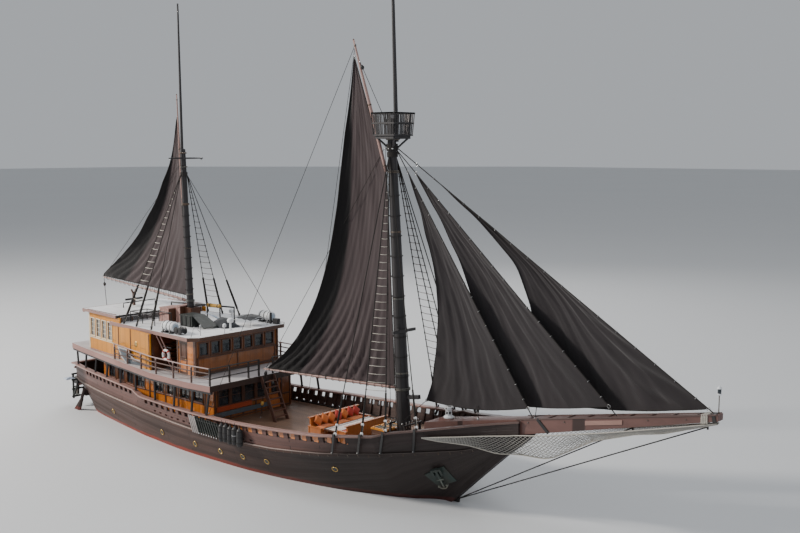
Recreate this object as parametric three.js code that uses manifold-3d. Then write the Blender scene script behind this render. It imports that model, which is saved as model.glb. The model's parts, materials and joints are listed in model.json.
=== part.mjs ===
// A two-masted phinisi, a wooden sailing ship, as a half-scale model.
// Every size below is the full-size ship's, in metres: x forward, y to port, z up.
// The origin is on the centreline at the waterline, near the middle of the ship.
import * as THREE from 'three';
import { mergeVertices } from 'three/addons/utils/BufferGeometryUtils.js';
import Module from 'manifold-3d';

const wasm = await Module();
wasm.setup();

const modelScale = 500; // millimetres in the half-scale model for one full-size metre
const seam = 0.0008; // gap left between pieces that touch

const colours = {
  hullWood: [0x3a2622, 0.75], keelWood: [0x2a1d1a, 0.8], deckWood: [0x8a6a50, 0.8],
  trimWood: [0x6d4a42, 0.7], varnish: [0xc2702a, 0.45], yellowPaint: [0xe0a44c, 0.55],
  darkWood: [0x4a2c1c, 0.6], roofPaint: [0xe6e6ea, 0.6], blackSpar: [0x17161a, 0.6],
  lightSpar: [0xb08878, 0.6], sailCloth: [0x2b2a2e, 0.95], rope: [0x3a3530, 0.9],
  net: [0xb9b4a8, 0.95], iron: [0x4a4f4c, 0.6], cushion: [0xc2502a, 0.95],
  table: [0xe8d8cc, 0.5], whitePaint: [0xf0f0f0, 0.4], bronze: [0x9a7a3c, 0.4],
};

// Stations of the hull. foot: height of its flat bottom; then half-breadth and height
// of the bilge, the waterline, the deck edge and the rail.
// waleZ is the top of the light rubbing strake that runs along the side.
const stationColumns = [
  'x', 'foot', 'bilgeY', 'bilgeZ', 'waterY', 'waterZ', 'deckY', 'deckZ', 'railY', 'railZ', 'waleZ',
];
const stations = [
  [-14.0, 0.05, 0.45, 0.35, 1.05, 0.80, 1.95, 1.95, 2.10, 2.92, 1.90],
  [-13.3, -1.20, 0.45, -0.60, 1.15, 0.05, 2.20, 1.97, 2.36, 2.95, 1.89],
  [-12.0, -1.95, 0.75, -1.15, 1.80, 0.00, 2.55, 2.00, 2.72, 2.98, 1.88],
  [-9.2, -2.10, 1.30, -1.30, 2.35, 0.00, 3.10, 2.00, 3.25, 2.98, 1.84],
  [-5.3, -2.20, 2.05, -1.35, 3.00, 0.00, 3.50, 1.85, 3.65, 2.82, 1.72],
  [-4.5, -2.20, 2.15, -1.35, 3.08, 0.00, 3.56, 1.80, 3.74, 2.56, 1.67],
  [-1.4, -2.25, 2.45, -1.40, 3.36, 0.00, 3.78, 1.70, 3.95, 2.54, 1.58],
  [1.4, -2.25, 2.50, -1.40, 3.40, 0.00, 3.93, 1.70, 4.10, 2.56, 1.52],
  [4.4, -2.25, 2.35, -1.35, 3.31, 0.00, 4.02, 1.72, 4.21, 2.69, 1.66],
  [6.9, -2.20, 1.95, -1.30, 3.01, 0.00, 3.95, 1.82, 4.13, 2.82, 1.77],
  [10.0, -2.05, 1.20, -1.20, 2.34, 0.00, 3.62, 2.10, 3.84, 3.01, 2.05],
  [12.9, -1.50, 0.50, -0.80, 1.29, 0.00, 2.90, 2.48, 3.15, 3.33, 2.42],
  [13.6, -1.15, 0.42, -0.60, 1.00, 0.10, 2.60, 2.94, 2.80, 3.57, 2.49],
  [14.8, -0.15, 0.30, 0.25, 0.62, 0.70, 1.98, 3.17, 2.14, 3.76, 2.62],
  [16.4, 1.35, 0.26, 1.60, 0.52, 1.95, 1.22, 3.474, 1.38, 4.07, 2.85],
  [18.0, 2.80, 0.24, 2.95, 0.36, 3.12, 0.70, 3.778, 0.84, 4.38, 3.35],
  [19.2, 3.78, 0.20, 3.82, 0.32, 3.86, 0.58, 4.006, 0.60, 4.62, 3.92],
].map((row) => Object.fromEntries(stationColumns.map((name, index) => [name, row[index]])));

const keelHalf = 0.16;
const waleProud = 0.06;
const waleHeight = 0.16;
const bulwark = { thick: 0.12, capWide: 0.30, capThick: 0.09, portHigh: 0.27, portDrop: 0.03 };
// Runs of open ports below the cap rail: first x, last x, length of a port, step between ports
const portRunColumns = ['from', 'to', 'long', 'step'];
const portRuns = [[-11.6, -5.7, 0.3, 0.52], [-4.15, 3.0, 0.3, 0.575], [3.7, 11.1, 0.46, 0.73]]
  .map((row) => Object.fromEntries(portRunColumns.map((name, index) => [name, row[index]])));
const keel = { half: 0.2, deep: 0.45, stemDeep: 0.16, stemTop: 3.98 };

// Upper deck: half-width and top height at each x.
const upperDeckColumns = ['x', 'half', 'top'];
const upperDeckRows = [
  [-13.8, 2.36, 4.24], [-12.0, 2.74, 4.24], [-7.0, 3.50, 4.18], [-3.3, 3.92, 4.08], [0.0, 3.96, 4.06],
  [2.1, 3.96, 4.12],
].map((row) => Object.fromEntries(upperDeckColumns.map((name, index) => [name, row[index]])));
const upperDeckThick = 0.32;

const house = {
  wall: 0.09, front: 0.9, back: -10.6, bend: -6.2, half: 2.75, backHalf: 2.1, foot: 1.5, head: 4.2,
};
const roof = { front: 0.07, back: -8.3, half: 3.47, backHalf: 3.1, base: 6.14, thick: 0.16, corner: 0.45 };
const wheelhouse = {
  front: -0.43, side: 2.9, recessFront: -2.0, recessBack: -3.7, recessHalf: 1.6,
  foot: 3.5, head: 7, sill: 5.2, lintel: 5.88,
};
const cabin = { frontHalf: 3.52, back: -11.2, backHalf: 2.62, head: 7.5, sill: 5.15, lintel: 6.2 };
const cabinRoof = { front: -7.5, back: -11.6, half: 3.22, backHalf: 2.85, base: 6.60, thick: 0.12 };

const mainMast = {
  base: [12.1, 2.46], head: [11.31, 16.34], heel: 2.2, cap: 17.84, baseRadius: 0.35, headRadius: 0.21,
};
const mainTopmast = {
  foot: 16.72, top: 27.4, radius: 0.11, topRadius: 0.06, ahead: 0.36, aside: -0.08, lean: 0.032,
  bands: [16.78, 17.5],
};
const mizzenMast = {
  base: [-4.42, 1.86], head: [-5.04, 15.9], heel: 1.7, cap: 16.4, baseRadius: 0.24, headRadius: 0.16,
};
const mizzenTopmast = {
  foot: 15.2, top: 24.6, radius: 0.09, topRadius: 0.05, ahead: 0.2, aside: -0.22, lean: 0.012,
  bands: [15.3, 16.1],
};
const nest = {
  floor: 17.0, rail: 18.1, midRail: 17.56, railHigh: 0.07, floorHalf: 0.68, railHalf: 0.75, forward: 0.08,
  bar: 0.05, slats: 5, slatHalf: 0.017, slatIn: 0.025,
};

const mainBoom = { heelZ: 4.86, heelOut: 0.34, endX: 2.7, endZ: 4.66, radius: 0.09, turn: 4.9 };
const mizzenBoom = { heelZ: 7.55, heelOut: 0.3, endX: -13.75, endZ: 8.22, radius: 0.08, turn: 0 };
const mainGaff = { heelZ: 15.3, heelOut: 0.42, peakX: 8.95, peakZ: 21.62, radius: 0.07 };
const mizzenGaff = { heelZ: 13.2, heelOut: 0.27, peakX: -5.52, peakZ: 19.5, radius: 0.05 };
const bowspritRows = [[13.9, 1.3, 0.677], [18.0, 0.86, 0.677], [19.3, 0.86, 0.677], [28.1, 0.42, 0.26]];
const bowspritTop = { tipX: 28.1, tipZ: 6.38, slope: 0.19 };

const lerp = (a, b, t) => a + (b - a) * t;

function rowAt(rows, x) {
  const last = rows.length - 1;
  let index = 0;
  while (index < last - 1 && rows[index + 1].x < x) index += 1;
  const [low, high] = [rows[index], rows[index + 1]];
  const t = (x - low.x) / (high.x - low.x);
  return Object.fromEntries(Object.keys(low).map((name) => [name, lerp(low[name], high[name], t)]));
}

function solidOf(geometry) {
  const bare = geometry.index ? geometry.toNonIndexed() : geometry.clone();
  for (const name of ['normal', 'uv']) bare.deleteAttribute(name);
  const merged = mergeVertices(bare, 1e-5);
  return new wasm.Manifold(new wasm.Mesh({
    numProp: 3,
    vertProperties: new Float32Array(merged.attributes.position.array),
    triVerts: new Uint32Array(merged.index.array),
  }));
}

function geometryOf(solid) {
  const mesh = solid.getMesh();
  const geometry = new THREE.BufferGeometry();
  geometry.setAttribute('position', new THREE.BufferAttribute(new Float32Array(mesh.vertProperties), 3));
  geometry.setIndex(new THREE.BufferAttribute(new Uint32Array(mesh.triVerts), 1));
  const flat = geometry.toNonIndexed();
  flat.computeVertexNormals();
  return flat;
}

const join = (pieces) => pieces.reduce((whole, piece) => whole.add(piece));
const cut = (solid, pieces) => pieces.reduce((whole, piece) => whole.subtract(piece), solid);
// Cuts a piece by its neighbours and leaves a seam all round them
const shifts = [[0, 0, 0], [1, 0, 0], [-1, 0, 0], [0, 1, 0], [0, -1, 0], [0, 0, 1], [0, 0, -1]];
const cutClear = (solid, neighbours) => cut(solid, neighbours.flatMap(
  (piece) => shifts.map(([x, y, z]) => piece.translate(x * seam, y * seam, z * seam))));
const largest = (solid) => solid.decompose().sort((a, b) => b.volume() - a.volume())[0];

// A closed loft through rings of equal length, each a list of [x, y, z].
function loft(rings) {
  const size = rings[0].length;
  const points = rings.flat();
  const faces = [];
  for (let ring = 0; ring < rings.length - 1; ring += 1) {
    for (let side = 0; side < size; side += 1) {
      const a = ring * size + side;
      const b = ring * size + (side + 1) % size;
      faces.push(a, b, b + size, a, b + size, a + size);
    }
  }
  for (const [start, flip] of [[0, true], [(rings.length - 1) * size, false]]) {
    const ring = points.slice(start, start + size);
    const flat = flatten(ring);
    for (const [a, b, c] of THREE.ShapeUtils.triangulateShape(flat, [])) {
      faces.push(start + a, ...(flip ? [start + c, start + b] : [start + b, start + c]));
    }
  }
  const geometry = new THREE.BufferGeometry();
  geometry.setAttribute('position', new THREE.Float32BufferAttribute(points.flat(), 3));
  geometry.setIndex(faces);
  let solid = solidOf(geometry);
  if (signedVolume(geometry) < 0) {
    geometry.setIndex(faces.flatMap((_, i) => (i % 3 === 0 ? [faces[i], faces[i + 2], faces[i + 1]] : [])));
    solid = solidOf(geometry);
  }
  return solid;
}

function signedVolume(geometry) {
  const { position } = geometry.attributes;
  const corner = [0, 1, 2].map(() => new THREE.Vector3());
  let sum = 0;
  for (let i = 0; i < geometry.index.count; i += 3) {
    corner.forEach((v, k) => v.fromBufferAttribute(position, geometry.index.getX(i + k)));
    sum += corner[0].dot(corner[1].clone().cross(corner[2]));
  }
  return sum;
}

// Projects a flat ring onto its own plane for cap triangles, keeping its turning sense.
function flatten(ring) {
  const points = ring.map((p) => new THREE.Vector3(...p));
  const normal = new THREE.Vector3();
  points.forEach((p, i) => {
    const q = points[(i + 1) % points.length];
    normal.x += (p.y - q.y) * (p.z + q.z);
    normal.y += (p.z - q.z) * (p.x + q.x);
    normal.z += (p.x - q.x) * (p.y + q.y);
  });
  normal.normalize();
  const u = new THREE.Vector3(1, 0, 0);
  if (Math.abs(normal.x) > 0.9) u.set(0, 1, 0);
  u.addScaledVector(normal, -u.dot(normal)).normalize();
  const v = normal.clone().cross(u);
  return points.map((p) => new THREE.Vector2(p.dot(u), p.dot(v)));
}

function box(x0, x1, y0, y1, z0, z1) {
  const geometry = new THREE.BoxGeometry(x1 - x0, y1 - y0, z1 - z0);
  geometry.translate((x0 + x1) / 2, (y0 + y1) / 2, (z0 + z1) / 2);
  return solidOf(geometry);
}

// A round or tapered spar between two points.
function pole(from, to, radius, endRadius = radius, sides = 8) {
  const start = new THREE.Vector3(...from);
  const along = new THREE.Vector3(...to).sub(start);
  const geometry = new THREE.CylinderGeometry(endRadius, radius, along.length(), sides);
  geometry.translate(0, along.length() / 2, 0);
  const turn = new THREE.Quaternion().setFromUnitVectors(new THREE.Vector3(0, 1, 0), along.normalize());
  geometry.applyQuaternion(turn);
  geometry.translate(...from);
  return solidOf(geometry);
}

// A vertical prism over a plan outline of [x, y] points.
function prism(outline, z0, z1) {
  return loft([outline.map(([x, y]) => [x, y, z0]), outline.map(([x, y]) => [x, y, z1])]);
}

// A sheet of the given thickness about a vertical plane at y, from [x, z] points.
function plate(outline, y, thick) {
  const layer = (at) => outline.map(([x, z]) => [x, at, z]);
  return loft([layer(y - thick / 2), layer(y + thick / 2)]);
}

// A wall of even thickness along a plan path.
function wall(path, thick, z0, z1) {
  const side = (sign) => path.map(([x, y], i) => {
    const before = path[Math.max(i - 1, 0)];
    const after = path[Math.min(i + 1, path.length - 1)];
    const a = new THREE.Vector2(x - before[0], y - before[1]);
    const b = new THREE.Vector2(after[0] - x, after[1] - y);
    if (a.length() === 0) a.copy(b);
    if (b.length() === 0) b.copy(a);
    const normal = a.normalize().add(b.normalize()).normalize();
    const reach = (thick / 2) / Math.max(normal.dot(b), 0.3);
    return [x - sign * normal.y * reach, y + sign * normal.x * reach];
  });
  return prism([...side(1), ...side(-1).reverse()], z0, z1);
}

const mirror = (points) => points.map(([x, y, ...rest]) => [x, -y, ...rest]);
const root = new THREE.Group();

function put(name, solid, look) {
  const [colour, roughness] = colours[look];
  const material = new THREE.MeshStandardMaterial({ color: colour, roughness });
  const mesh = new THREE.Mesh(geometryOf(solid), material);
  mesh.name = name;
  root.add(mesh);
}

const mastAt = (mast, z) => {
  const t = (z - mast.base[1]) / (mast.head[1] - mast.base[1]);
  return [lerp(mast.base[0], mast.head[0], t), 0, z];
};
const mastRadius = (mast, z) => {
  const t = (z - mast.base[1]) / (mast.head[1] - mast.base[1]);
  return lerp(mast.baseRadius, mast.headRadius, t);
};
const bowspritZ = (x) => bowspritTop.tipZ - bowspritTop.slope * (bowspritTop.tipX - x);

// Hull
function hullSolid() {
  const rings = stations.map((s) => {
    const waleFoot = s.waleZ - Math.min(waleHeight, 0.2 * (s.deckZ - s.waterZ));
    const sideAt = (z) => lerp(s.waterY, s.deckY, (z - s.waterZ) / (s.deckZ - s.waterZ)) + 0.05;
    const half = [
      [s.x, keelHalf, s.foot], [s.x, s.bilgeY, s.bilgeZ], [s.x, s.waterY, s.waterZ],
      [s.x, sideAt(waleFoot), waleFoot], [s.x, sideAt(waleFoot) + waleProud, waleFoot + 0.02],
      [s.x, sideAt(s.waleZ) + waleProud, s.waleZ], [s.x, sideAt(s.waleZ), s.waleZ + 0.02],
      [s.x, s.deckY, s.deckZ],
    ];
    return [...half, ...mirror(half).reverse()];
  });
  return loft(rings);
}
const sternBeam = { x0: -12.95, x1: -12.55, half: 2.25, z0: 1.0, z1: 1.35 };
const sternBeamBox = (grow) => box(sternBeam.x0 - grow, sternBeam.x1 + grow, -sternBeam.half, sternBeam.half,
  sternBeam.z0 - grow, sternBeam.z1 + grow);
const hull = cut(hullSolid(), [sternBeamBox(seam)]);
put('hull', hull, 'hullWood');

const propeller = { x: -14.5, z: -1.2, radius: 0.55, boss: 0.16, bossEnd: -14.25 };

// Keel, stem and sternpost as one timber frame in the centreline plane
function keelSolid() {
  const line = stations.map((s) => [s.x, s.foot]);
  const inner = line.map(([x, z]) => [x, Math.min(z + 0.3, keel.stemTop)]);
  const outer = line.map(([x, z], i) => {
    const [px, pz] = line[Math.max(i - 1, 0)];
    const [nx, nz] = line[Math.min(i + 1, line.length - 1)];
    const length = Math.hypot(nx - px, nz - pz);
    const deep = x > 13 ? keel.stemDeep : keel.deep;
    return [x + (deep * (nz - pz)) / length, z - (deep * (nx - px)) / length];
  });
  outer.push([19.6, keel.stemTop]);
  outer.unshift([-14.35, 1.1], [-14.32, 0.05]);
  inner.unshift([-13.95, 1.1], [-13.9, 0.3]);
  const boss = pole([propeller.bossEnd, 0, propeller.z], [-13.4, 0, propeller.z], propeller.boss);
  return largest(cutClear(join([plate([...outer, ...inner.reverse()], 0, keel.half * 2), boss]), [hull]));
}
const keelBody = keelSolid();
put('keel_and_stem', keelBody, 'keelWood');

// Main deck planking, lying inside the bulwarks
const deckInset = bulwark.thick + 0.12;
const deckThick = 0.05;
const deckRing = (s) => {
  const half = s.deckY - deckInset;
  return [
    [s.x, -half, s.deckZ + seam], [s.x, half, s.deckZ + seam],
    [s.x, half, s.deckZ + deckThick], [s.x, -half, s.deckZ + deckThick],
  ];
};
const deckStations = stations.filter((s) => s.x > -13.9 && s.x < 13.7);
put('main_deck', loft(deckStations.map(deckRing)), 'deckWood');

// Bulwarks with their cap rail and a row of open ports
function bulwarkSolid(side) {
  const rings = stations.map((s) => {
    const foot = s.deckZ + seam;
    const under = s.railZ - bulwark.capThick;
    const proud = s.x > 17 ? 0.01 : (bulwark.capWide - bulwark.thick) / 2;
    const inner = s.railY - bulwark.thick;
    const ring = [
      [s.x, s.deckY, foot], [s.x, s.railY, under], [s.x, s.railY + proud, under],
      [s.x, s.railY + proud, s.railZ], [s.x, inner - proud, s.railZ], [s.x, inner - proud, under],
      [s.x, inner, under], [s.x, s.deckY - bulwark.thick, foot],
    ];
    return side > 0 ? ring : mirror(ring);
  });
  const ports = [];
  for (const run of portRuns) {
    for (let x = run.from; x < run.to; x += run.step) {
      const s = rowAt(stations, x);
      const top = s.railZ - bulwark.capThick - bulwark.portDrop;
      const y = side * s.railY;
      ports.push(box(x, x + run.long, y - 0.45, y + 0.45, top - bulwark.portHigh, top));
    }
  }
  return cut(loft(rings), [join(ports)]);
}
const bulwarkMass = [-1, 1].map((side) => bulwarkSolid(side));
put('bulwark_starboard', bulwarkMass[0], 'trimWood');
put('bulwark_port', bulwarkMass[1], 'trimWood');

const windlass = { x: 14.85, bed: 0.32 };
const windlassFoot = bowspritZ(windlass.x) + 0.08;

// Bowsprit, a flat-topped platform that tapers to its tip
function bowspritSolid() {
  const rings = bowspritRows.map(([x, wide, deep]) => {
    const top = bowspritZ(x);
    return [[x, -wide / 2, top - deep], [x, wide / 2, top - deep], [x, wide / 2, top], [x, -wide / 2, top]];
  });
  const bed = box(windlass.x - windlass.bed, windlass.x + windlass.bed, -windlass.bed, windlass.bed,
    bowspritZ(windlass.x) - 0.1, windlassFoot - seam);
  return join([loft(rings), bed]);
}
const bowsprit = bowspritSolid();
put('bowsprit', bowsprit, 'trimWood');

// Net slung below the bowsprit, as a thin trough
const netRows = [
  // x, half-width, height of its edge, height of its lowest line
  [19.7, 1.05, 3.95, 2.45], [21.5, 0.85, 4.35, 3.00], [23.5, 0.70, 4.80, 4.15],
  [25.8, 0.45, 5.35, 5.05], [27.8, 0.12, 6.018, 5.98],
];
const netThick = 0.045;
function netSolid() {
  const rings = netRows.map(([x, half, edge, low]) => {
    const bend = lerp(edge, low, 0.7);
    const knuckle = half * 0.6;
    return [
      [x, -half, edge], [x, -knuckle, bend], [x, 0, low], [x, knuckle, bend], [x, half, edge],
      [x, half - netThick, edge], [x, knuckle - netThick / 2, bend + netThick / 2], [x, 0, low + netThick],
      [x, netThick / 2 - knuckle, bend + netThick / 2], [x, netThick - half, edge],
    ];
  });
  return loft(rings);
}
const bowNet = netSolid();
put('bow_net', bowNet, 'net');

// Two bobstays from an eye on the stem to the bowsprit
function bobstaySolid() {
  const eye = [15.35, 0, 0.12];
  const upperEnds = [27.6, 24.4];
  const below = (x, drop) => [x, 0, bowspritZ(x) - drop];
  const lines = upperEnds.map((x) => pole(eye, below(x, 0.5), 0.03, 0.03, 6));
  const tips = upperEnds.map((x) => pole(below(x, 0.6), below(x, 0.1), 0.04, 0.04, 6));
  const boss = box(15.0, 15.5, -0.06, 0.06, 0.02, 0.22);
  return largest(cutClear(join([...lines, ...tips, boss]), [hull, keelBody, bowsprit, bowNet]));
}
put('bobstays', bobstaySolid(), 'rope');

// Anchors hung on a plate at each side of the bow
const anchorCorners = [[14.46, 1.27, 1.44], [15.41, 1.05, 1.97], [15.69, 0.43, 1.22], [14.85, 0.65, 0.8]];
const anchorPlace = { centre: [15.1, 0.85, 1.3], outward: [0.43, 0.78, -0.46], up: [-0.1, 0.45, 0.88] };
function anchorSolid() {
  const outward = new THREE.Vector3(...anchorPlace.outward).normalize();
  const layer = (depth) => anchorCorners.map(
    (corner) => new THREE.Vector3(...corner).addScaledVector(outward, depth).toArray());
  const backing = loft([layer(-0.3), layer(0.06)]);
  const across = new THREE.Vector3(...anchorPlace.up).cross(outward).normalize();
  const seat = new THREE.Matrix4().makeBasis(across, outward, outward.clone().cross(across).negate());
  seat.setPosition(...anchorPlace.centre);
  const shank = box(-0.05, 0.05, 0, 0.18, -0.62, 0.25);
  const stock = box(-0.24, 0.24, 0.06, 0.18, -0.66, -0.54);
  const flukes = [-0.2, 0.2].map((at) => box(at - 0.05, at + 0.05, 0.06, 0.2, -0.66, -0.3));
  return join([backing, join([shank, stock, ...flukes]).transform(seat.elements)]);
}
const anchorPort = anchorSolid();
put('anchor_starboard', largest(cutClear(anchorPort.mirror([0, 1, 0]), [hull, keelBody])), 'iron');
put('anchor_port', largest(cutClear(anchorPort, [hull, keelBody])), 'iron');

// Windlass drum that turns about its upright spindle on the bowsprit's heel
const drumProfile = [
  [0, 0], [0.24, 0], [0.24, 0.05], [0.13, 0.12], [0.13, 0.34], [0.2, 0.4], [0.2, 0.52], [0, 0.52],
].map(([radius, up]) => new THREE.Vector2(radius, up));
const drum = new THREE.LatheGeometry(drumProfile, 14);
drum.rotateX(Math.PI / 2);
drum.translate(windlass.x, 0, windlassFoot);
put('windlass_drum', solidOf(drum), 'whitePaint');

// Seats, table and hatch on the open deck
const deckAt = (x) => rowAt(deckStations, x).deckZ + deckThick + seam;
const belowDeck = loft(deckStations.map((s) => [
  [s.x, -s.deckY, s.deckZ - 1], [s.x, s.deckY, s.deckZ - 1],
  [s.x, s.deckY, s.deckZ + deckThick + seam], [s.x, -s.deckY, s.deckZ + deckThick + seam],
]));

function seatSolid(x0, x1, y0, y1, seat, back, backAt) {
  const floor = deckAt(x0) - 0.1;
  const base = box(x0, x1, y0, y1, floor, seat);
  const rest = box(backAt, backAt + 0.1, y0, y1, floor, back);
  const arms = [[y0 - 0.1, y0], [y1, y1 + 0.1]].map(([a, b]) => box(x0, x1, a, b, floor, seat + 0.18));
  return cutClear(join([base, rest, ...arms]), [belowDeck]);
}
const sofa = { x0: 7.0, x1: 7.95, y0: -1.5, y1: 1.9, seat: 2.25, back: 2.86 };
put('sofa', seatSolid(sofa.x0, sofa.x1, sofa.y0, sofa.y1, sofa.seat, sofa.back, sofa.x0), 'varnish');
put('sofa_cushions', box(sofa.x0 + 0.12, sofa.x1, sofa.y0 + 0.02, sofa.y1 - 0.02,
  sofa.seat + seam, sofa.seat + 0.16), 'cushion');
const table = { x0: 8.05, x1: 8.95, y0: -1.5, y1: 1.7, foot: 1.8, top: 2.48, thick: 0.06 };
const tableLegs = [table.y0 + 0.3, table.y1 - 0.4].map((y) => box(table.x0 + 0.35, table.x1 - 0.35,
  y, y + 0.1, table.foot, table.top - 0.05));
put('deck_table', cut(join([
  box(table.x0, table.x1, table.y0, table.y1, table.top - table.thick, table.top), ...tableLegs,
]), [belowDeck]), 'table');
const bench = { x0: 9.1, x1: 9.75, y0: -1.55, y1: 1.3, seat: 2.4, back: 2.86 };
put('bench', seatSolid(bench.x0, bench.x1, bench.y0, bench.y1, bench.seat, bench.back, bench.x1 - 0.1),
  'varnish');
const hatch = { x0: 10.6, x1: 11.5, y0: -0.75, y1: 0.55, foot: 2.1, top: 2.78, lid: 0.07, wall: 0.1 };
const hatchWell = box(hatch.x0 + hatch.wall, hatch.x1 - hatch.wall,
  hatch.y0 + hatch.wall, hatch.y1 - hatch.wall, hatch.top - 0.25, hatch.top + 1);
put('hatch_coaming', cut(box(hatch.x0, hatch.x1, hatch.y0, hatch.y1, hatch.foot, hatch.top),
  [belowDeck, hatchWell]), 'darkWood');
put('hatch_lid', box(hatch.x0 - 0.03, hatch.x1 + 0.03, hatch.y0 - 0.03, hatch.y1 + 0.03,
  hatch.top + seam, hatch.top + hatch.lid), 'yellowPaint');

// Masts
const mastPole = (mast, grow = 0) => pole(mastAt(mast, mast.heel), mastAt(mast, mast.cap),
  mastRadius(mast, mast.heel) + grow, mastRadius(mast, mast.cap) + grow, 12);
put('main_mast', cut(mastPole(mainMast), [belowDeck]), 'blackSpar');
put('mizzen_mast', cut(mastPole(mizzenMast), [belowDeck]), 'blackSpar');
const mainMastGrown = mastPole(mainMast, seam);
const mizzenMastGrown = mastPole(mizzenMast, seam);
const mizzenHole = mastPole(mizzenMast, 0.003);

// Upper deck
const upperRing = (s, lower = 0, wide = 0) => [
  [s.x, -s.half - wide, s.top - upperDeckThick - lower], [s.x, s.half + wide, s.top - upperDeckThick - lower],
  [s.x, s.half + wide, s.top], [s.x, -s.half - wide, s.top],
];
const upperDeck = cut(loft(upperDeckRows.map((s) => upperRing(s))), [mizzenHole]);
put('upper_deck', upperDeck, 'trimWood');
const upperDeckMass = loft(upperDeckRows.map((s) => upperRing({ ...s, top: s.top + seam }, 2, 2)));
const underUpper = loft(upperDeckRows.map((s) => [
  [s.x, -s.half - 2, s.top - upperDeckThick - seam], [s.x, s.half + 2, s.top - upperDeckThick - seam],
  [s.x, s.half + 2, s.top + 2], [s.x, -s.half - 2, s.top + 2],
]));

// Openings cut through a wall: [centre along x or y, width] rows between two heights
const windowsAlongX = (rows, y, z0, z1) => rows.map(
  ([x, wide]) => box(x - wide / 2, x + wide / 2, y - 0.6, y + 0.6, z0, z1));
const windowsAlongY = (rows, x, z0, z1) => rows.map(
  ([y, wide]) => box(x - 0.3, x + 0.3, y - wide / 2, y + wide / 2, z0, z1));

// Lower house between the main deck and the upper deck
const lowerSideWindows = [-9.4, -8.2, -7.0, -5.8, -4.0, -2.8, -1.6, -0.4].map((x) => [x, 0.8]);
const lowerFrontWindows = [-2.1, -1.2, -0.3, 0.6].map((y) => [y, 0.72]);
const lowerAftWindows = [[-1.2, 0.8], [1.2, 0.8]];
const lowerDoor = { y: 1.55, wide: 0.8, top: 3.62, thick: 0.06 };
const doorGap = 0.012;
function lowerSide(side) {
  const path = [
    [house.front, side * house.half], [house.bend, side * house.half], [house.back, side * house.backHalf],
  ];
  const solid = wall(path, house.wall, house.foot, house.head);
  return cut(solid, [belowDeck, underUpper, ...windowsAlongX(lowerSideWindows, side * 2.6, 2.72, 3.5)]);
}
put('lower_house_starboard', lowerSide(-1), 'varnish');
put('lower_house_port', lowerSide(1), 'varnish');
const lowerInner = house.half - house.wall / 2 - seam;
const lowerDoorway = box(0, 2, lowerDoor.y - lowerDoor.wide / 2 - doorGap,
  lowerDoor.y + lowerDoor.wide / 2 + doorGap, 1, lowerDoor.top + doorGap);
const lowerFront = box(house.front - house.wall, house.front, -lowerInner, lowerInner,
  house.foot, house.head);
put('lower_house_front', cut(lowerFront, [
  belowDeck, underUpper, ...windowsAlongY(lowerFrontWindows, house.front, 2.6, 3.5), lowerDoorway,
]), 'varnish');
const lowerBackInner = house.backHalf - 0.09;
const lowerBack = box(house.back, house.back + house.wall, -lowerBackInner, lowerBackInner,
  house.foot, house.head);
put('lower_house_aft', cut(lowerBack, [
  belowDeck, underUpper, ...windowsAlongY(lowerAftWindows, house.back, 2.9, 3.6),
]), 'varnish');
const hinge = { radius: 0.02, high: 0.14, reach: 0.035, ups: [0.3, 1.4] };

// A door leaf flush with its wall's outer face, with hinge barrels that bear on the wall beside it.
// Built lying along +x from its hinge edge, outer face at y = 0 towards -y, then turned into place.
function doorSolid(wide, z0, z1) {
  const leaf = box(0, wide, 0, lowerDoor.thick, z0, z1);
  const out = -(hinge.radius + seam);
  const knuckles = hinge.ups.flatMap((up) => {
    const [low, high] = [z0 + up, z0 + up + hinge.high];
    return [
      pole([-hinge.reach, out, low], [-hinge.reach, out, high], hinge.radius, hinge.radius, 8),
      box(-hinge.reach, 0.12, out - 0.006, out + 0.006, low, high),
      box(0.03, 0.12, out - 0.006, 0.01, low, high),
    ];
  });
  return join([leaf, ...knuckles]);
}
const place = (solid, x, y, degrees) => solid.transform(new THREE.Matrix4().makeTranslation(x, y, 0)
  .multiply(new THREE.Matrix4().makeRotationZ(THREE.MathUtils.degToRad(degrees))).elements);
const doorFoot = deckAt(house.front) + 0.03;
const saloonDoor = doorSolid(lowerDoor.wide, doorFoot, lowerDoor.top).mirror([1, 0, 0]);
put('saloon_door', place(saloonDoor, house.front, lowerDoor.y + lowerDoor.wide / 2, 90), 'darkWood');

// Posts from the bulwark's cap up to the upper deck, with the beam that joins them
const postXs = [-13.2, -11.7, -10.2, -8.6, -6.9, -5.1, -3.0, -1.1, 0.55, 1.9];
const beam = { half: 0.07, high: 0.12 };
function postsSolid(side) {
  const beamRings = upperDeckRows.map((s) => {
    const y = side * (s.half - 0.12);
    const top = s.top - upperDeckThick - seam;
    const [low, inner, outer] = [top - beam.high, y - beam.half, y + beam.half];
    return [[s.x, inner, low], [s.x, outer, low], [s.x, outer, top], [s.x, inner, top]];
  });
  const posts = postXs.map((x) => {
    const deckRow = rowAt(upperDeckRows, x);
    const railRow = rowAt(stations, x);
    return pole([x, side * (railRow.railY - 0.06), railRow.railZ + seam],
      [x, side * (deckRow.half - 0.12), deckRow.top - upperDeckThick - 0.05], 0.07, 0.07, 6);
  });
  return largest(cutClear(join([loft(beamRings), ...posts]), [underUpper, ...bulwarkMass]));
}
put('veranda_posts_starboard', postsSolid(-1), 'darkWood');
put('veranda_posts_port', postsSolid(1), 'darkWood');

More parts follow.
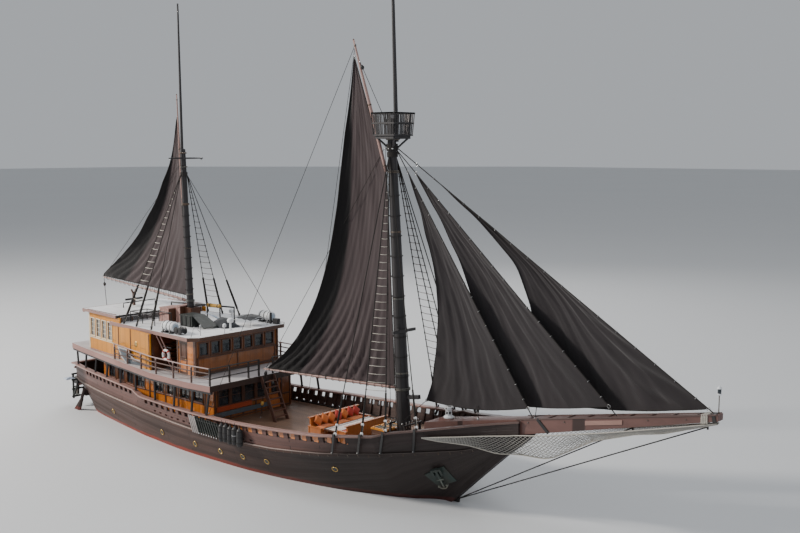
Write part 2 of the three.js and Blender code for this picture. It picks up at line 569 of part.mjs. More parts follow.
// Railings of the upper deck: three bars on posts, open where the stairs come up
const railing = { aft: -7.6, high: 0.92, bar: 0.035, post: 0.04, inset: 0.08, bars: [0.36, 0.64, 0.9] };
const stairs = { y0: -0.5, y1: 0.4, topX: 2.13, footX: 3.4, count: 8, thick: 0.05 };
function railingSolid(side) {
  const rows = [rowAt(upperDeckRows, railing.aft), ...upperDeckRows.filter((s) => s.x > railing.aft)];
  const edge = rows.map((s) => [s.x - (s.x > 2 ? railing.inset : 0), side * (s.half - railing.inset), s.top]);
  const gate = side < 0 ? stairs.y0 - 0.05 : stairs.y1 + 0.05;
  const corner = edge[edge.length - 1];
  const path = [...edge, [corner[0], gate, corner[2]]];
  const parts = [];
  for (const lift of railing.bars) {
    for (let i = 0; i < path.length - 1; i += 1) {
      const [a, b] = [path[i], path[i + 1]].map(([x, y, z]) => [x, y, z + lift]);
      parts.push(pole(a, b, railing.bar, railing.bar, 4));
    }
  }
  const postPlaces = [];
  for (let x = railing.aft + 0.05; x < corner[0] - 0.5; x += 1.6) {
    const row = rowAt(upperDeckRows, x);
    postPlaces.push([x, side * (row.half - railing.inset), row.top]);
  }
  for (let y = corner[1]; side < 0 ? y <= gate : y >= gate; y -= side * 1.3) {
    postPlaces.push([corner[0], y, corner[2]]);
  }
  postPlaces.push([corner[0], gate, corner[2]]);
  const { post } = railing;
  for (const [x, y, z] of postPlaces) {
    parts.push(box(x - post, x + post, y - post, y + post, z - 0.1, z + railing.high));
  }
  return cut(join(parts), [upperDeckMass]);
}
put('upper_railing_starboard', railingSolid(-1), 'trimWood');
put('upper_railing_port', railingSolid(1), 'trimWood');

// Stairs from the main deck to the front edge of the upper deck
function stairsSolid() {
  const foot = deckAt(stairs.footX) - 0.05;
  const top = 4.1;
  const outline = [
    [stairs.footX, foot], [stairs.footX - 0.25, foot], [stairs.topX, top - 0.3], [stairs.topX, top],
    [stairs.topX + 0.1, top],
  ];
  const side = (y) => plate(outline, y, stairs.thick);
  const treads = [];
  for (let i = 1; i < stairs.count; i += 1) {
    const t = i / stairs.count;
    const x = lerp(stairs.footX - 0.1, stairs.topX + 0.08, t);
    treads.push(box(x - 0.12, x + 0.08, stairs.y0, stairs.y1, lerp(foot, top, t) - 0.03, lerp(foot, top, t)));
  }
  return largest(cutClear(join([side(stairs.y0), side(stairs.y1), ...treads]), [upperDeck, belowDeck]));
}
put('stairs', stairsSolid(), 'darkWood');

// Upper house: wheelhouse forward, an open recess each side, then the yellow cabin
const roofOutline = [
  [roof.front, roof.half - roof.corner], [roof.front - roof.corner, roof.half], [roof.back, roof.backHalf],
  [roof.back, -roof.backHalf], [roof.front - roof.corner, -roof.half], [roof.front, -roof.half + roof.corner],
];
const mainRoof = cut(prism(roofOutline, roof.base, roof.base + roof.thick), [mizzenHole]);
put('wheelhouse_roof', mainRoof, 'roofPaint');
const underRoof = prism([[3, 5], [-20, 5], [-20, -5], [3, -5]], roof.base - seam, 12);
const wheelInner = wheelhouse.side - house.wall / 2 - seam;
const frontWindows = [-2.35, -1.55, -0.78, 0, 0.78, 1.55, 2.35].map((y) => [y, 0.58]);
const wheelFront = box(wheelhouse.front - house.wall, wheelhouse.front, -wheelInner, wheelInner,
  wheelhouse.foot, wheelhouse.head);
put('wheelhouse_front', cut(wheelFront, [
  upperDeckMass, underRoof,
  ...windowsAlongY(frontWindows, wheelhouse.front, wheelhouse.sill, wheelhouse.lintel),
]), 'darkWood');
const wheelDoor = { x: -1.45, wide: 0.72, top: 5.96 };
function wheelSide(side) {
  const path = [
    [wheelhouse.front, side * wheelhouse.side], [wheelhouse.recessFront, side * wheelhouse.side],
    [wheelhouse.recessFront, side * wheelhouse.recessHalf],
    [wheelhouse.recessBack, side * wheelhouse.recessHalf],
    [wheelhouse.recessBack, side * (cabin.frontHalf - house.wall - 0.002)],
  ];
  const door = side < 0
    ? box(wheelDoor.x - wheelDoor.wide / 2 - doorGap, wheelDoor.x + wheelDoor.wide / 2 + doorGap,
      -wheelhouse.side - 0.3, -wheelhouse.side + 0.3, 3, wheelDoor.top + doorGap)
    : box(wheelDoor.x - 0.35, wheelDoor.x + 0.35, wheelhouse.side - 0.3, wheelhouse.side + 0.3,
      wheelhouse.sill, wheelhouse.lintel);
  return cut(wall(path, house.wall, wheelhouse.foot, wheelhouse.head), [upperDeckMass, underRoof, door]);
}
put('wheelhouse_side_starboard', wheelSide(-1), 'varnish');
put('wheelhouse_side_port', wheelSide(1), 'varnish');
const sillTop = rowAt(upperDeckRows, wheelDoor.x).top + 0.03;
put('wheelhouse_door', place(doorSolid(wheelDoor.wide, sillTop, wheelDoor.top),
  wheelDoor.x - wheelDoor.wide / 2, -wheelhouse.side - house.wall / 2, 0), 'darkWood');
const aboveFrom = (x0, x1, z) => box(x0, x1, -5, 5, z - seam, 12);
const cabinTop = aboveFrom(cabinRoof.front + 0.25, 3, roof.base);
const cabinTopAft = aboveFrom(-20, cabinRoof.front + 1, cabinRoof.base);
const cabinWindows = [-10.75, -10.0, -9.25, -8.5].map((x) => [x, 0.52]);
const cabinAftWindows = [[-1.6, 0.7], [0, 0.7], [1.6, 0.7]];
const roofRoom = [[0, 0, 0], [0, 0, seam], [0, 0, -seam], [-seam * 2, 0, 0]]
  .map((shift) => mainRoof.translate(shift));
function cabinSide(side) {
  const path = [[wheelhouse.recessBack, side * cabin.frontHalf], [cabin.back, side * cabin.backHalf]];
  const round = pole([-5.3, side * 2, 5.35], [-5.3, side * 5, 5.35], 0.13, 0.13, 10);
  return cut(wall(path, house.wall, wheelhouse.foot, cabin.head), [
    upperDeckMass, cabinTop, cabinTopAft, ...roofRoom,
    ...windowsAlongX(cabinWindows, side * 2.85, cabin.sill, cabin.lintel), round,
  ]);
}
put('cabin_side_starboard', cabinSide(-1), 'yellowPaint');
put('cabin_side_port', cabinSide(1), 'yellowPaint');
const cabinInner = cabin.backHalf - 0.08;
const cabinBack = box(cabin.back, cabin.back + house.wall, -cabinInner, cabinInner,
  wheelhouse.foot, cabin.head);
put('cabin_aft', cut(cabinBack, [
  upperDeckMass, cabinTopAft, ...windowsAlongY(cabinAftWindows, cabin.back, cabin.sill, cabin.lintel),
]), 'yellowPaint');
const cabinRoofOutline = [
  [cabinRoof.front, cabinRoof.half], [cabinRoof.back, cabinRoof.backHalf],
  [cabinRoof.back, -cabinRoof.backHalf], [cabinRoof.front, -cabinRoof.half],
];
const roofTop = roof.base + roof.thick + seam;
const riserHalf = cabinRoof.half - 0.25;
const riser = wall([[cabinRoof.front, -riserHalf], [cabinRoof.front, riserHalf]], 0.1,
  roofTop, cabinRoof.base + 0.02);
const cabinRoofSlab = prism(cabinRoofOutline, cabinRoof.base, cabinRoof.base + cabinRoof.thick);
put('cabin_roof', join([cabinRoofSlab, riser]), 'roofPaint');

// Life rafts in canisters on the roof's sides
const raft = { half: 0.55, lift: 0.36, radius: 0.28, cradleAt: 0.35, cradleHalf: 0.06, cradleReach: 0.26 };
for (const [name, x, y] of [['starboard', -2.55, -3.0], ['port', -1.35, 3.0]]) {
  const [height, reach] = [roofTop + raft.lift, raft.cradleReach];
  const barrel = pole([x - raft.half, y, height], [x + raft.half, y, height], raft.radius, raft.radius, 12);
  const cradle = [x - raft.cradleAt, x + raft.cradleAt].map((at) => box(at - raft.cradleHalf,
    at + raft.cradleHalf, y - reach, y + reach, roofTop, roofTop + 0.25));
  put(`life_raft_${name}`, join([barrel, ...cradle]), 'whitePaint');
}

// Topmasts, each held beside its lower mast by two bands
function topmastSolid(mast, top) {
  const [mastX] = mastAt(mast, top.foot);
  const x = mastX + top.ahead;
  const spar = pole([x, top.aside, top.foot], [x - top.lean * (top.top - top.foot), top.aside, top.top],
    top.radius, top.topRadius, 8);
  const bands = top.bands.map((z) => {
    const reach = mastRadius(mast, z) + 0.04;
    return box(mastAt(mast, z)[0] - reach, x + top.radius + 0.04,
      Math.min(-reach, top.aside - top.radius - 0.03), reach, z, z + 0.12);
  });
  return join([spar, ...bands]);
}
put('main_topmast', cut(topmastSolid(mainMast, mainTopmast), [mainMastGrown]), 'blackSpar');
const yard = {
  x: mastAt(mizzenMast, mizzenTopmast.foot)[0] + mizzenTopmast.ahead, half: 1.2, z: 15.86, thick: 0.05,
};
const mizzenYard = box(yard.x, yard.x + 2 * yard.thick, -yard.half, yard.half,
  yard.z - yard.thick, yard.z + yard.thick);
put('mizzen_topmast', cut(join([topmastSolid(mizzenMast, mizzenTopmast), mizzenYard]), [mizzenMastGrown]),
  'blackSpar');

// Crow's nest: a floor, corner posts and slats under a square rail
function nestSolid() {
  const [cx] = mastAt(mainMast, nest.floor);
  const x = cx + nest.forward;
  const slab = (half, z0, z1) => box(x - half, x + half, -half, half, z0, z1);
  const ring = (half, z0, z1) => slab(half, z0, z1).subtract(slab(half - nest.bar, z0 - 1, z1 + 1));
  const parts = [
    slab(nest.floorHalf, nest.floor, nest.floor + nest.railHigh),
    ring(nest.railHalf, nest.rail - nest.railHigh, nest.rail),
    ring(lerp(nest.floorHalf, nest.railHalf, 0.53), nest.midRail, nest.midRail + nest.railHigh),
  ];
  const slat = (a, b) => {
    const at = (half, z) => [[-1, -1], [1, -1], [1, 1], [-1, 1]].map(([u, v]) => [
      x + a * (half - nest.slatIn) + u * nest.slatHalf, b * (half - nest.slatIn) + v * nest.slatHalf, z]);
    return loft([at(nest.floorHalf, nest.floor + 0.03), at(nest.railHalf, nest.rail - 0.03)]);
  };
  for (let i = 0; i <= nest.slats; i += 1) {
    const t = -1 + (2 * i) / nest.slats;
    parts.push(slat(t, 1), slat(t, -1));
    if (i > 0 && i < nest.slats) parts.push(slat(1, t), slat(-1, t));
  }
  const topX = mastAt(mainMast, mainTopmast.foot)[0] + mainTopmast.ahead;
  const [topY, room] = [mainTopmast.aside, 0.14];
  const hole = box(topX - room, topX + room, topY - room, topY + room, 16, nest.floor + 0.2);
  return cut(join(parts), [mainMastGrown, hole]);
}
put('crows_nest', nestSolid(), 'blackSpar');

// Shrouds: lines from each side's rail to a collar on the mast
function shroudSolid(mast, seats, collarZ, feet, radius) {
  const collar = pole(mastAt(mast, collarZ), mastAt(mast, collarZ + 0.25), mastRadius(mast, collarZ) + 0.05,
    mastRadius(mast, collarZ) + 0.05, 12);
  const lines = [];
  for (const side of [-1, 1]) {
    for (const [x, y, z] of feet) {
      const top = mastAt(mast, collarZ + 0.12);
      lines.push(pole([x, side * y, z], [top[0], side * 0.22, top[2]], radius, radius, 5));
      lines.push(pole([x, side * y, z - 0.02],
        [lerp(x, top[0], 0.14), side * lerp(y, 0.22, 0.14), lerp(z, top[2], 0.14)], 0.055, 0.045, 5));
    }
  }
  return largest(cutClear(join([collar, ...lines]), seats));
}
const mainFeet = [[11.05, 3.72, 3.09], [12.4, 3.34, 3.27], [13.45, 2.86, 3.52], [14.75, 2.18, 3.76]];
put('main_shrouds', shroudSolid(mainMast, [mainMastGrown, ...bulwarkMass], 16.0, mainFeet, 0.025), 'rope');
const mizzenFeet = [[-4.05, 3.2], [-5.6, 3.12], [-6.95, 3.06]].map(([x, y]) => [x, y, roofTop + 0.02]);
put('mizzen_shrouds', shroudSolid(mizzenMast, [mizzenMastGrown, mainRoof], 14.8, mizzenFeet, 0.022), 'rope');

// Forestays from a collar on the mainmast down to the bowsprit
const stayColumns = ['footX', 'headZ'];
const stayRows = [[19.53, 16.54], [23.65, 16.46], [27.85, 16.54]]
  .map((row) => Object.fromEntries(stayColumns.map((name, index) => [name, row[index]])));
const stayCollar = { x: 11.45, z0: 16.3, z1: 16.62, radius: 0.28, line: 0.025 };
const stayEnds = stayRows.map((row) => [
  [row.footX, 0, bowspritZ(row.footX) + 0.01], [stayCollar.x, 0, row.headZ],
]);
function staySolid() {
  const collar = pole(mastAt(mainMast, stayCollar.z0), mastAt(mainMast, stayCollar.z1),
    stayCollar.radius, stayCollar.radius, 12);
  const lines = stayEnds.map(([foot, head]) => pole(foot, head, stayCollar.line, stayCollar.line, 5));
  return largest(cutClear(cut(join([collar, ...lines]), [mainMastGrown]), [bowsprit]));
}
const stays = staySolid();
put('forestays', stays, 'rope');

// Spars and sails that swing about a mast; built fore-and-aft, then turned to where they hang
function swung(solid, mast, degrees) {
  const [hx, , hz] = mastAt(mast, 8);
  const axis = new THREE.Vector3(mast.head[0] - mast.base[0], 0, mast.head[1] - mast.base[1]).normalize();
  const turn = new THREE.Matrix4().makeTranslation(hx, 0, hz)
    .multiply(new THREE.Matrix4().makeRotationAxis(axis, THREE.MathUtils.degToRad(degrees)))
    .multiply(new THREE.Matrix4().makeTranslation(-hx, 0, -hz));
  return solid.transform(turn.elements);
}
const boreSides = 44;
function sparSolid(mast, heelZ, heelOut, tip, radius) {
  const heel = mastAt(mast, heelZ);
  const start = [heel[0] - heelOut, 0, heelZ];
  const spar = pole(start, tip, radius * 1.15, radius * 0.8, 8);
  const around = mastRadius(mast, heelZ - 0.06);
  const ends = [mastAt(mast, heelZ - 0.06), mastAt(mast, heelZ + 0.06)];
  const bore = (around + seam) / Math.cos(Math.PI / boreSides);
  const ring = pole(...ends, around + 0.07, around + 0.07, 24);
  const hole = pole(mastAt(mast, heelZ - 0.2), mastAt(mast, heelZ + 0.2), bore, bore, boreSides);
  const yoke = box(start[0] - 0.06, heel[0] - around, -0.05, 0.05, heelZ - 0.05, heelZ + 0.05);
  return largest(cut(join([spar, ring, yoke]), [hole]));
}
const mainBoomSpar = sparSolid(mainMast, mainBoom.heelZ, mainBoom.heelOut,
  [mainBoom.endX, 0, mainBoom.endZ], mainBoom.radius);
const mainGaffSpar = sparSolid(mainMast, mainGaff.heelZ, mainGaff.heelOut,
  [mainGaff.peakX, 0, mainGaff.peakZ], mainGaff.radius);
const mizzenBoomSpar = sparSolid(mizzenMast, mizzenBoom.heelZ, mizzenBoom.heelOut,
  [mizzenBoom.endX, 0, mizzenBoom.endZ], mizzenBoom.radius);
const mizzenGaffSpar = sparSolid(mizzenMast, mizzenGaff.heelZ, mizzenGaff.heelOut,
  [mizzenGaff.peakX, 0, mizzenGaff.peakZ], mizzenGaff.radius);
const sailThick = 0.03;
const swing = (solid, mast, boom) => swung(solid, mast, boom.turn);
const sailSolid = (outline, spars) => largest(cutClear(plate(outline, 0, sailThick), spars));
put('main_boom', swing(mainBoomSpar, mainMast, mainBoom), 'lightSpar');
put('main_gaff', swing(mainGaffSpar, mainMast, mainBoom), 'lightSpar');
put('mizzen_boom', swing(mizzenBoomSpar, mizzenMast, mizzenBoom), 'lightSpar');
put('mizzen_gaff', swing(mizzenGaffSpar, mizzenMast, mizzenBoom), 'lightSpar');

// Sail outlines in the fore-and-aft plane, [x, z] from the clew round by the leech, peak, throat and tack.
const mainSailOutline = [
  [3.0, 4.85], [4.6, 5.9], [6.0, 7.6], [7.2, 10.0], [7.95, 13.0], [8.35, 16.0], [8.75, 19.0], [9.0, 20.8],
  [10.85, 15.6], [11.0, 15.1], [11.25, 10.0], [11.5, 5.1],
];
const mizzenSailOutline = [
  [-13.7, 8.25], [-12.98, 8.74], [-11.82, 9.4], [-10.69, 10.14], [-9.57, 10.98], [-8.48, 12.13],
  [-7.39, 13.5], [-6.32, 15.41], [-5.83, 16.93], [-5.55, 18.2], [-5.42, 16.5], [-5.25, 13.4],
  [-5.08, 10.5], [-4.98, 7.85],
];
const mainSail = sailSolid(mainSailOutline, [mainBoomSpar, mainGaffSpar]);
const mizzenSail = sailSolid(mizzenSailOutline, [mizzenBoomSpar, mizzenGaffSpar]);
put('mainsail', swing(mainSail, mainMast, mainBoom), 'sailCloth');
put('mizzen_sail', swing(mizzenSail, mizzenMast, mizzenBoom), 'sailCloth');

// Jibs: each lies in a plane through its stay, hauled over to port. From the clew up the leech, in x and z,
// with the fractions of the stay where its luff starts and ends.
const jibSlant = 0.11;
const jibs = [
  { name: 'inner_jib', stay: 0, low: 0.03, high: 0.894, leech: [
    [12.85, 4.3], [13.34, 5.39], [13.68, 6.91], [13.88, 8.39], [13.91, 9.83], [13.77, 10.76], [13.56, 11.69],
    [13.07, 13.31]] },
  { name: 'middle_jib', stay: 1, low: 0.03, high: 0.889, leech: [
    [15.81, 4.85], [16.18, 6.74], [16.16, 7.92], [15.88, 9.62], [15.28, 11.24], [14.73, 12.23],
    [13.61, 14.03]] },
  { name: 'outer_jib', stay: 2, low: 0.015, high: 0.915, leech: [
    [19.01, 5.23], [19.32, 6.45], [19.3, 7.83], [19.01, 9.83], [18.39, 11.38], [17.61, 12.17], [16.54, 13.14],
    [14.26, 14.79]] },
];
function jibSolid({ stay, low, high, leech }) {
  const [foot, head] = stayEnds[stay];
  const on = (t) => [lerp(foot[0], head[0], t), lerp(foot[2], head[2], t)];
  const stayX = (z) => lerp(foot[0], head[0], (z - foot[2]) / (head[2] - foot[2]));
  const outline = [on(low), ...leech, on(high)];
  const ring = (shift) => outline.map(([x, z]) => [x, jibSlant * (stayX(z) - x) + shift, z]);
  return largest(cutClear(loft([ring(-sailThick / 2), ring(sailThick / 2)]), [stays]));
}
for (const jib of jibs) put(jib.name, jibSolid(jib), 'sailCloth');

// Stern: cross-beam, quarter rudders, propeller
const rudder = {
  y: sternBeam.half + 0.1 + seam, head: [-12.58, 1.46], foot: [-13.96, -1.3], stock: 0.1, thick: 0.12,
};
const bladeOutline = [
  [-12.8, 0.78], [-13.05, 0.74], [-13.75, 0.0], [-14.85, -1.5], [-14.2, -1.95], [-13.86, -1.3], [-13.2, -0.1],
];
put('stern_beam', sternBeamBox(0), 'keelWood');
for (const [side, name] of [[-1, 'starboard'], [1, 'port']]) {
  const at = ([x, z]) => [x, side * rudder.y, z];
  const stock = pole(at(rudder.head), at(rudder.foot), rudder.stock, rudder.stock, 24);
  put(`rudder_${name}`, join([stock, plate(bladeOutline, side * rudder.y, rudder.thick)]), 'keelWood');
}
function propellerSolid() {
  const hub = pole([propeller.x - 0.22, 0, propeller.z], [propeller.bossEnd - seam, 0, propeller.z],
    0.11, 0.13, 10);
  const blades = [0, 1, 2].map((i) => {
    const angle = (i * 2 * Math.PI) / 3;
    const turn = new THREE.Matrix4().makeTranslation(propeller.x, 0, propeller.z)
      .multiply(new THREE.Matrix4().makeRotationX(angle)).multiply(new THREE.Matrix4().makeRotationZ(0.5));
    return box(-0.03, 0.03, -0.2, 0.2, 0.05, propeller.radius).transform(turn.elements);
  });
  return join([hub, ...blades]);
}
put('propeller', propellerSolid(), 'bronze');

root.scale.setScalar(modelScale);
export default root;
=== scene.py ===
# Phinisi, a two-masted wooden sailing ship, as a half-scale model
import bpy, bmesh, json, math
from mathutils.bvhtree import BVHTree
from mathutils import Matrix, Vector, noise

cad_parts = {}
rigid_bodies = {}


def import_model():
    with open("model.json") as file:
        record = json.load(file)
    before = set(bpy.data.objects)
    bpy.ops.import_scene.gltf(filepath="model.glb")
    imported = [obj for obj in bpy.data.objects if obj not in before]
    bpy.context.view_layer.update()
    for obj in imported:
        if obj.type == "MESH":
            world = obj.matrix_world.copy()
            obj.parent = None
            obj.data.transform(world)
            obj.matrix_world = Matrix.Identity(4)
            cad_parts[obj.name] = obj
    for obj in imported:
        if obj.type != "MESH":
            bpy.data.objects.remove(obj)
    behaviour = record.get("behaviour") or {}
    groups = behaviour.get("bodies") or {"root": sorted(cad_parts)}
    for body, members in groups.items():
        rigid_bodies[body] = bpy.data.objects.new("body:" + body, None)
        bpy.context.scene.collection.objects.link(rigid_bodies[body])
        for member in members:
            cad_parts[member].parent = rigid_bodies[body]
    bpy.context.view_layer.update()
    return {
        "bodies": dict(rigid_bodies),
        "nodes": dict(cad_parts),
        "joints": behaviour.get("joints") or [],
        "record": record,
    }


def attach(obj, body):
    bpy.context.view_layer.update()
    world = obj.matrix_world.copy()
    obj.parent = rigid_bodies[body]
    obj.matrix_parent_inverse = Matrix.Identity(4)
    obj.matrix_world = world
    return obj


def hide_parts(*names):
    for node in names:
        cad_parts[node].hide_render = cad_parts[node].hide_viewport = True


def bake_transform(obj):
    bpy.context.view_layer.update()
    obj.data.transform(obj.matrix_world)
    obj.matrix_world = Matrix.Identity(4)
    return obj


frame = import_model()
half = 0.5  # model metres for one full-size metre; every size below is the full-size ship's
toX, toY, toZ = Vector((1, 0, 0)), Vector((0, 1, 0)), Vector((0, 0, 1))
print("frame loaded")


def linked(name, data):
    made = bpy.data.objects.new(name, data)
    bpy.context.scene.collection.objects.link(made)
    return made


def lerp(a, b, t):
    return a + (b - a) * t


# points of a circle round a centre, in the plane of two directions
def circle(centre, u, v, radius, count):
    turns = [2 * math.pi * k / count for k in range(count)]
    return [centre + (u * math.cos(t) + v * math.sin(t)) * radius for t in turns]


# a smooth curve through points, the first and last of which only steer its ends
def curveThrough(full, parts):
    dense = []
    for i in range(1, len(full) - 2):
        p0, p1, p2, p3 = full[i - 1:i + 3]
        for k in range(parts):
            t = k / parts
            dense.append(0.5 * (2 * p1 + (p2 - p0) * t + (2 * p0 - 5 * p1 + 4 * p2 - p3) * t * t
                                + (3 * p1 - p0 - 3 * p2 + p3) * t ** 3))
    return dense + [full[-2]]


# the point at a share t of a polyline's length
def alongPoints(points, t):
    run = [0.0]
    for a, b in zip(points, points[1:]):
        run.append(run[-1] + (b - a).length)
    want, i = run[-1] * t, 0
    while i < len(run) - 2 and run[i + 1] < want:
        i += 1
    return points[i].lerp(points[i + 1], (want - run[i]) / max(run[i + 1] - run[i], 1e-9))


# lay out a mesh's UV map with a function of the vertex index
def layUv(mesh, uvAt):
    layer = mesh.uv_layers.new(name="UVMap")
    for loop in mesh.loops:
        layer.data[loop.index].uv = uvAt(loop.vertex_index)


# camera, floor and light
camera = {"place": (22.325, -18.46, 8.18), "down": 6.424, "turn": 41.66, "lens": 46.77}
cam = linked("viewCamera", bpy.data.cameras.new("viewCamera"))
cam.location = camera["place"]
cam.rotation_euler = (math.radians(90 - camera["down"]), 0, math.radians(camera["turn"]))
cam.data.lens, cam.data.sensor_width, cam.data.clip_end = camera["lens"], 36, 500
bpy.context.scene.camera = cam

studio = {
    "key": {"place": (-34, -30, 27), "size": 6, "power": 34000, "tint": (1, 0.95, 0.88)},
    "front": {"place": (34, -14, 20), "size": 16, "power": 1500, "tint": (0.92, 0.96, 1)},
    "top": {"place": (0, 6, 42), "size": 24, "power": 4200, "tint": (0.95, 0.97, 1)},
    "back": {"place": (-18, 30, 24), "size": 16, "power": 3200, "tint": (1, 0.97, 0.94)},
    "air": 0.5, "airTint": (0.86, 0.9, 0.95, 1), "aim": (2, 0, 3),
}
for name in ("key", "front", "top", "back"):
    row = studio[name]
    lamp = linked(name + "Light", bpy.data.lights.new(name + "Light", "AREA"))
    lamp.data.size, lamp.data.energy, lamp.data.color = row["size"], row["power"], row["tint"]
    lamp.location = row["place"]
    aim = Vector(studio["aim"]) - lamp.location
    lamp.rotation_euler = aim.to_track_quat("-Z", "Y").to_euler()
world = bpy.data.worlds.new("softAir")
world.use_nodes = True
world.node_tree.nodes["Background"].inputs[0].default_value = studio["airTint"]
world.node_tree.nodes["Background"].inputs[1].default_value = studio["air"]
bpy.context.scene.world = world


# shader helpers
def newGroup(name, inputs, outputs):
    tree = bpy.data.node_groups.new(name, "ShaderNodeTree")
    for label, kind, value in inputs:
        socket = tree.interface.new_socket(label, in_out="INPUT", socket_type=kind)
        socket.default_value = value
    for label, kind in outputs:
        tree.interface.new_socket(label, in_out="OUTPUT", socket_type=kind)
    return tree, tree.nodes.new("NodeGroupInput"), tree.nodes.new("NodeGroupOutput")


def node(tree, kind, **values):
    made = tree.nodes.new(kind)
    for key, value in values.items():
        if hasattr(made, key) and key not in made.inputs:
            setattr(made, key, value)
        else:
            made.inputs[key].default_value = value
    return made


def mapRange(tree, source, low, high, outLow=0.0, outHigh=1.0):
    made = node(tree, "ShaderNodeMapRange")
    for index, value in enumerate((low, high, outLow, outHigh), 1):
        made.inputs[index].default_value = value
    tree.links.new(source, made.inputs[0])
    return made.outputs[0]


def maths(tree, operation, a, b):
    made = node(tree, "ShaderNodeMath", operation=operation)
    for index, value in enumerate((a, b)):
        if isinstance(value, (int, float)):
            made.inputs[index].default_value = value
        else:
            tree.links.new(value, made.inputs[index])
    return made.outputs[0]


def mixColour(tree, mask, a, b):
    made = node(tree, "ShaderNodeMix", data_type="RGBA")
    for index, value in ((0, mask), (6, a), (7, b)):
        if isinstance(value, (int, float)):
            made.inputs[index].default_value = value
        elif isinstance(value, tuple):
            made.inputs[index].default_value = (*value, 1) if len(value) == 3 else value
        else:
            tree.links.new(value, made.inputs[index])
    return made.outputs[2]


# wood grain: streaks along one direction, with broad patches of weather
def buildGrain():
    tree, inn, out = newGroup(
        "woodGrain",
        [("Vector", "NodeSocketVector", (0, 0, 0)), ("Fine", "NodeSocketFloat", 60.0),
         ("Broad", "NodeSocketFloat", 1.4)],
        [("Streak", "NodeSocketFloat"), ("Patch", "NodeSocketFloat")])
    fine = node(tree, "ShaderNodeTexNoise", Detail=6.0, Roughness=0.62)
    broad = node(tree, "ShaderNodeTexNoise", Detail=4.0, Roughness=0.6)
    tree.links.new(inn.outputs["Vector"], fine.inputs["Vector"])
    tree.links.new(inn.outputs["Fine"], fine.inputs["Scale"])
    tree.links.new(inn.outputs["Vector"], broad.inputs["Vector"])
    tree.links.new(inn.outputs["Broad"], broad.inputs["Scale"])
    tree.links.new(mapRange(tree, fine.outputs["Fac"], 0.32, 0.7), out.inputs["Streak"])
    tree.links.new(mapRange(tree, broad.outputs["Fac"], 0.35, 0.68), out.inputs["Patch"])
    return tree


# boards: seams between planks with butt joints, and a tone for each plank
def buildBoards():
    tree, inn, out = newGroup(
        "plankBoards",
        [("Vector", "NodeSocketVector", (0, 0, 0)), ("Wide", "NodeSocketFloat", 0.1),
         ("Long", "NodeSocketFloat", 2.0),
         ("Seam", "NodeSocketFloat", 0.004)],
        [("Seam", "NodeSocketFloat"), ("Tone", "NodeSocketFloat")])
    brick = node(tree, "ShaderNodeTexBrick", offset=0.37, Scale=1.0)
    brick.inputs["Color1"].default_value = (0, 0, 0, 1)
    brick.inputs["Color2"].default_value = (1, 1, 1, 1)
    brick.inputs["Mortar"].default_value = (0.5, 0.5, 0.5, 1)
    brick.inputs["Mortar Smooth"].default_value = 0.3
    for label, socket in (("Vector", "Vector"), ("Wide", "Row Height"), ("Long", "Brick Width"),
                          ("Seam", "Mortar Size")):
        tree.links.new(inn.outputs[label], brick.inputs[socket])
    tree.links.new(brick.outputs["Fac"], out.inputs["Seam"])
    tree.links.new(brick.outputs["Color"], out.inputs["Tone"])
    return tree


# grime that gathers in streaks and patches
def buildGrime():
    tree, inn, out = newGroup(
        "weatherGrime", [("Vector", "NodeSocketVector", (0, 0, 0)), ("Scale", "NodeSocketFloat", 2.0),
                         ("Amount", "NodeSocketFloat", 0.4)],
        [("Mask", "NodeSocketFloat")])
    cloud = node(tree, "ShaderNodeTexNoise", Detail=8.0, Roughness=0.7)
    tree.links.new(inn.outputs["Vector"], cloud.inputs["Vector"])
    tree.links.new(inn.outputs["Scale"], cloud.inputs["Scale"])
    mask = maths(tree, "MULTIPLY", mapRange(tree, cloud.outputs["Fac"], 0.45, 0.72), inn.outputs["Amount"])
    tree.links.new(mask, out.inputs["Mask"])
    return tree


grainGroup, boardGroup, grimeGroup = buildGrain(), buildBoards(), buildGrime()


def useGroup(tree, group, source, **values):
    made = tree.nodes.new("ShaderNodeGroup")
    made.node_tree = group
    tree.links.new(source, made.inputs["Vector"])
    for key, value in values.items():
        made.inputs[key].default_value = value
    return made


def newMaterial(name, rough=0.6, metal=0.0, coat=0.0, specular=0.4, sheen=0.0):
    material = bpy.data.materials.new(name)
    material.use_nodes = True
    tree = material.node_tree
    shader = tree.nodes["Principled BSDF"]
    shader.inputs["Roughness"].default_value = rough
    shader.inputs["Metallic"].default_value = metal
    shader.inputs["Coat Weight"].default_value = coat
    shader.inputs["Specular IOR Level"].default_value = specular
    shader.inputs["Sheen Weight"].default_value = sheen
    return material, tree, shader


def place(tree, source="Object", scale=(1, 1, 1), turn=(0, 0, 0)):
    coords = tree.nodes.new("ShaderNodeTexCoord")
    mapping = node(tree, "ShaderNodeMapping")
    mapping.inputs["Scale"].default_value = scale
    mapping.inputs["Rotation"].default_value = [math.radians(a) for a in turn]
    tree.links.new(coords.outputs[source], mapping.inputs["Vector"])
    return mapping.outputs["Vector"]


def addBump(tree, shader, height, distance, strength=0.6):
    bump = node(tree, "ShaderNodeBump", Strength=strength, Distance=distance)
    tree.links.new(height, bump.inputs["Height"])
    tree.links.new(bump.outputs["Normal"], shader.inputs["Normal"])


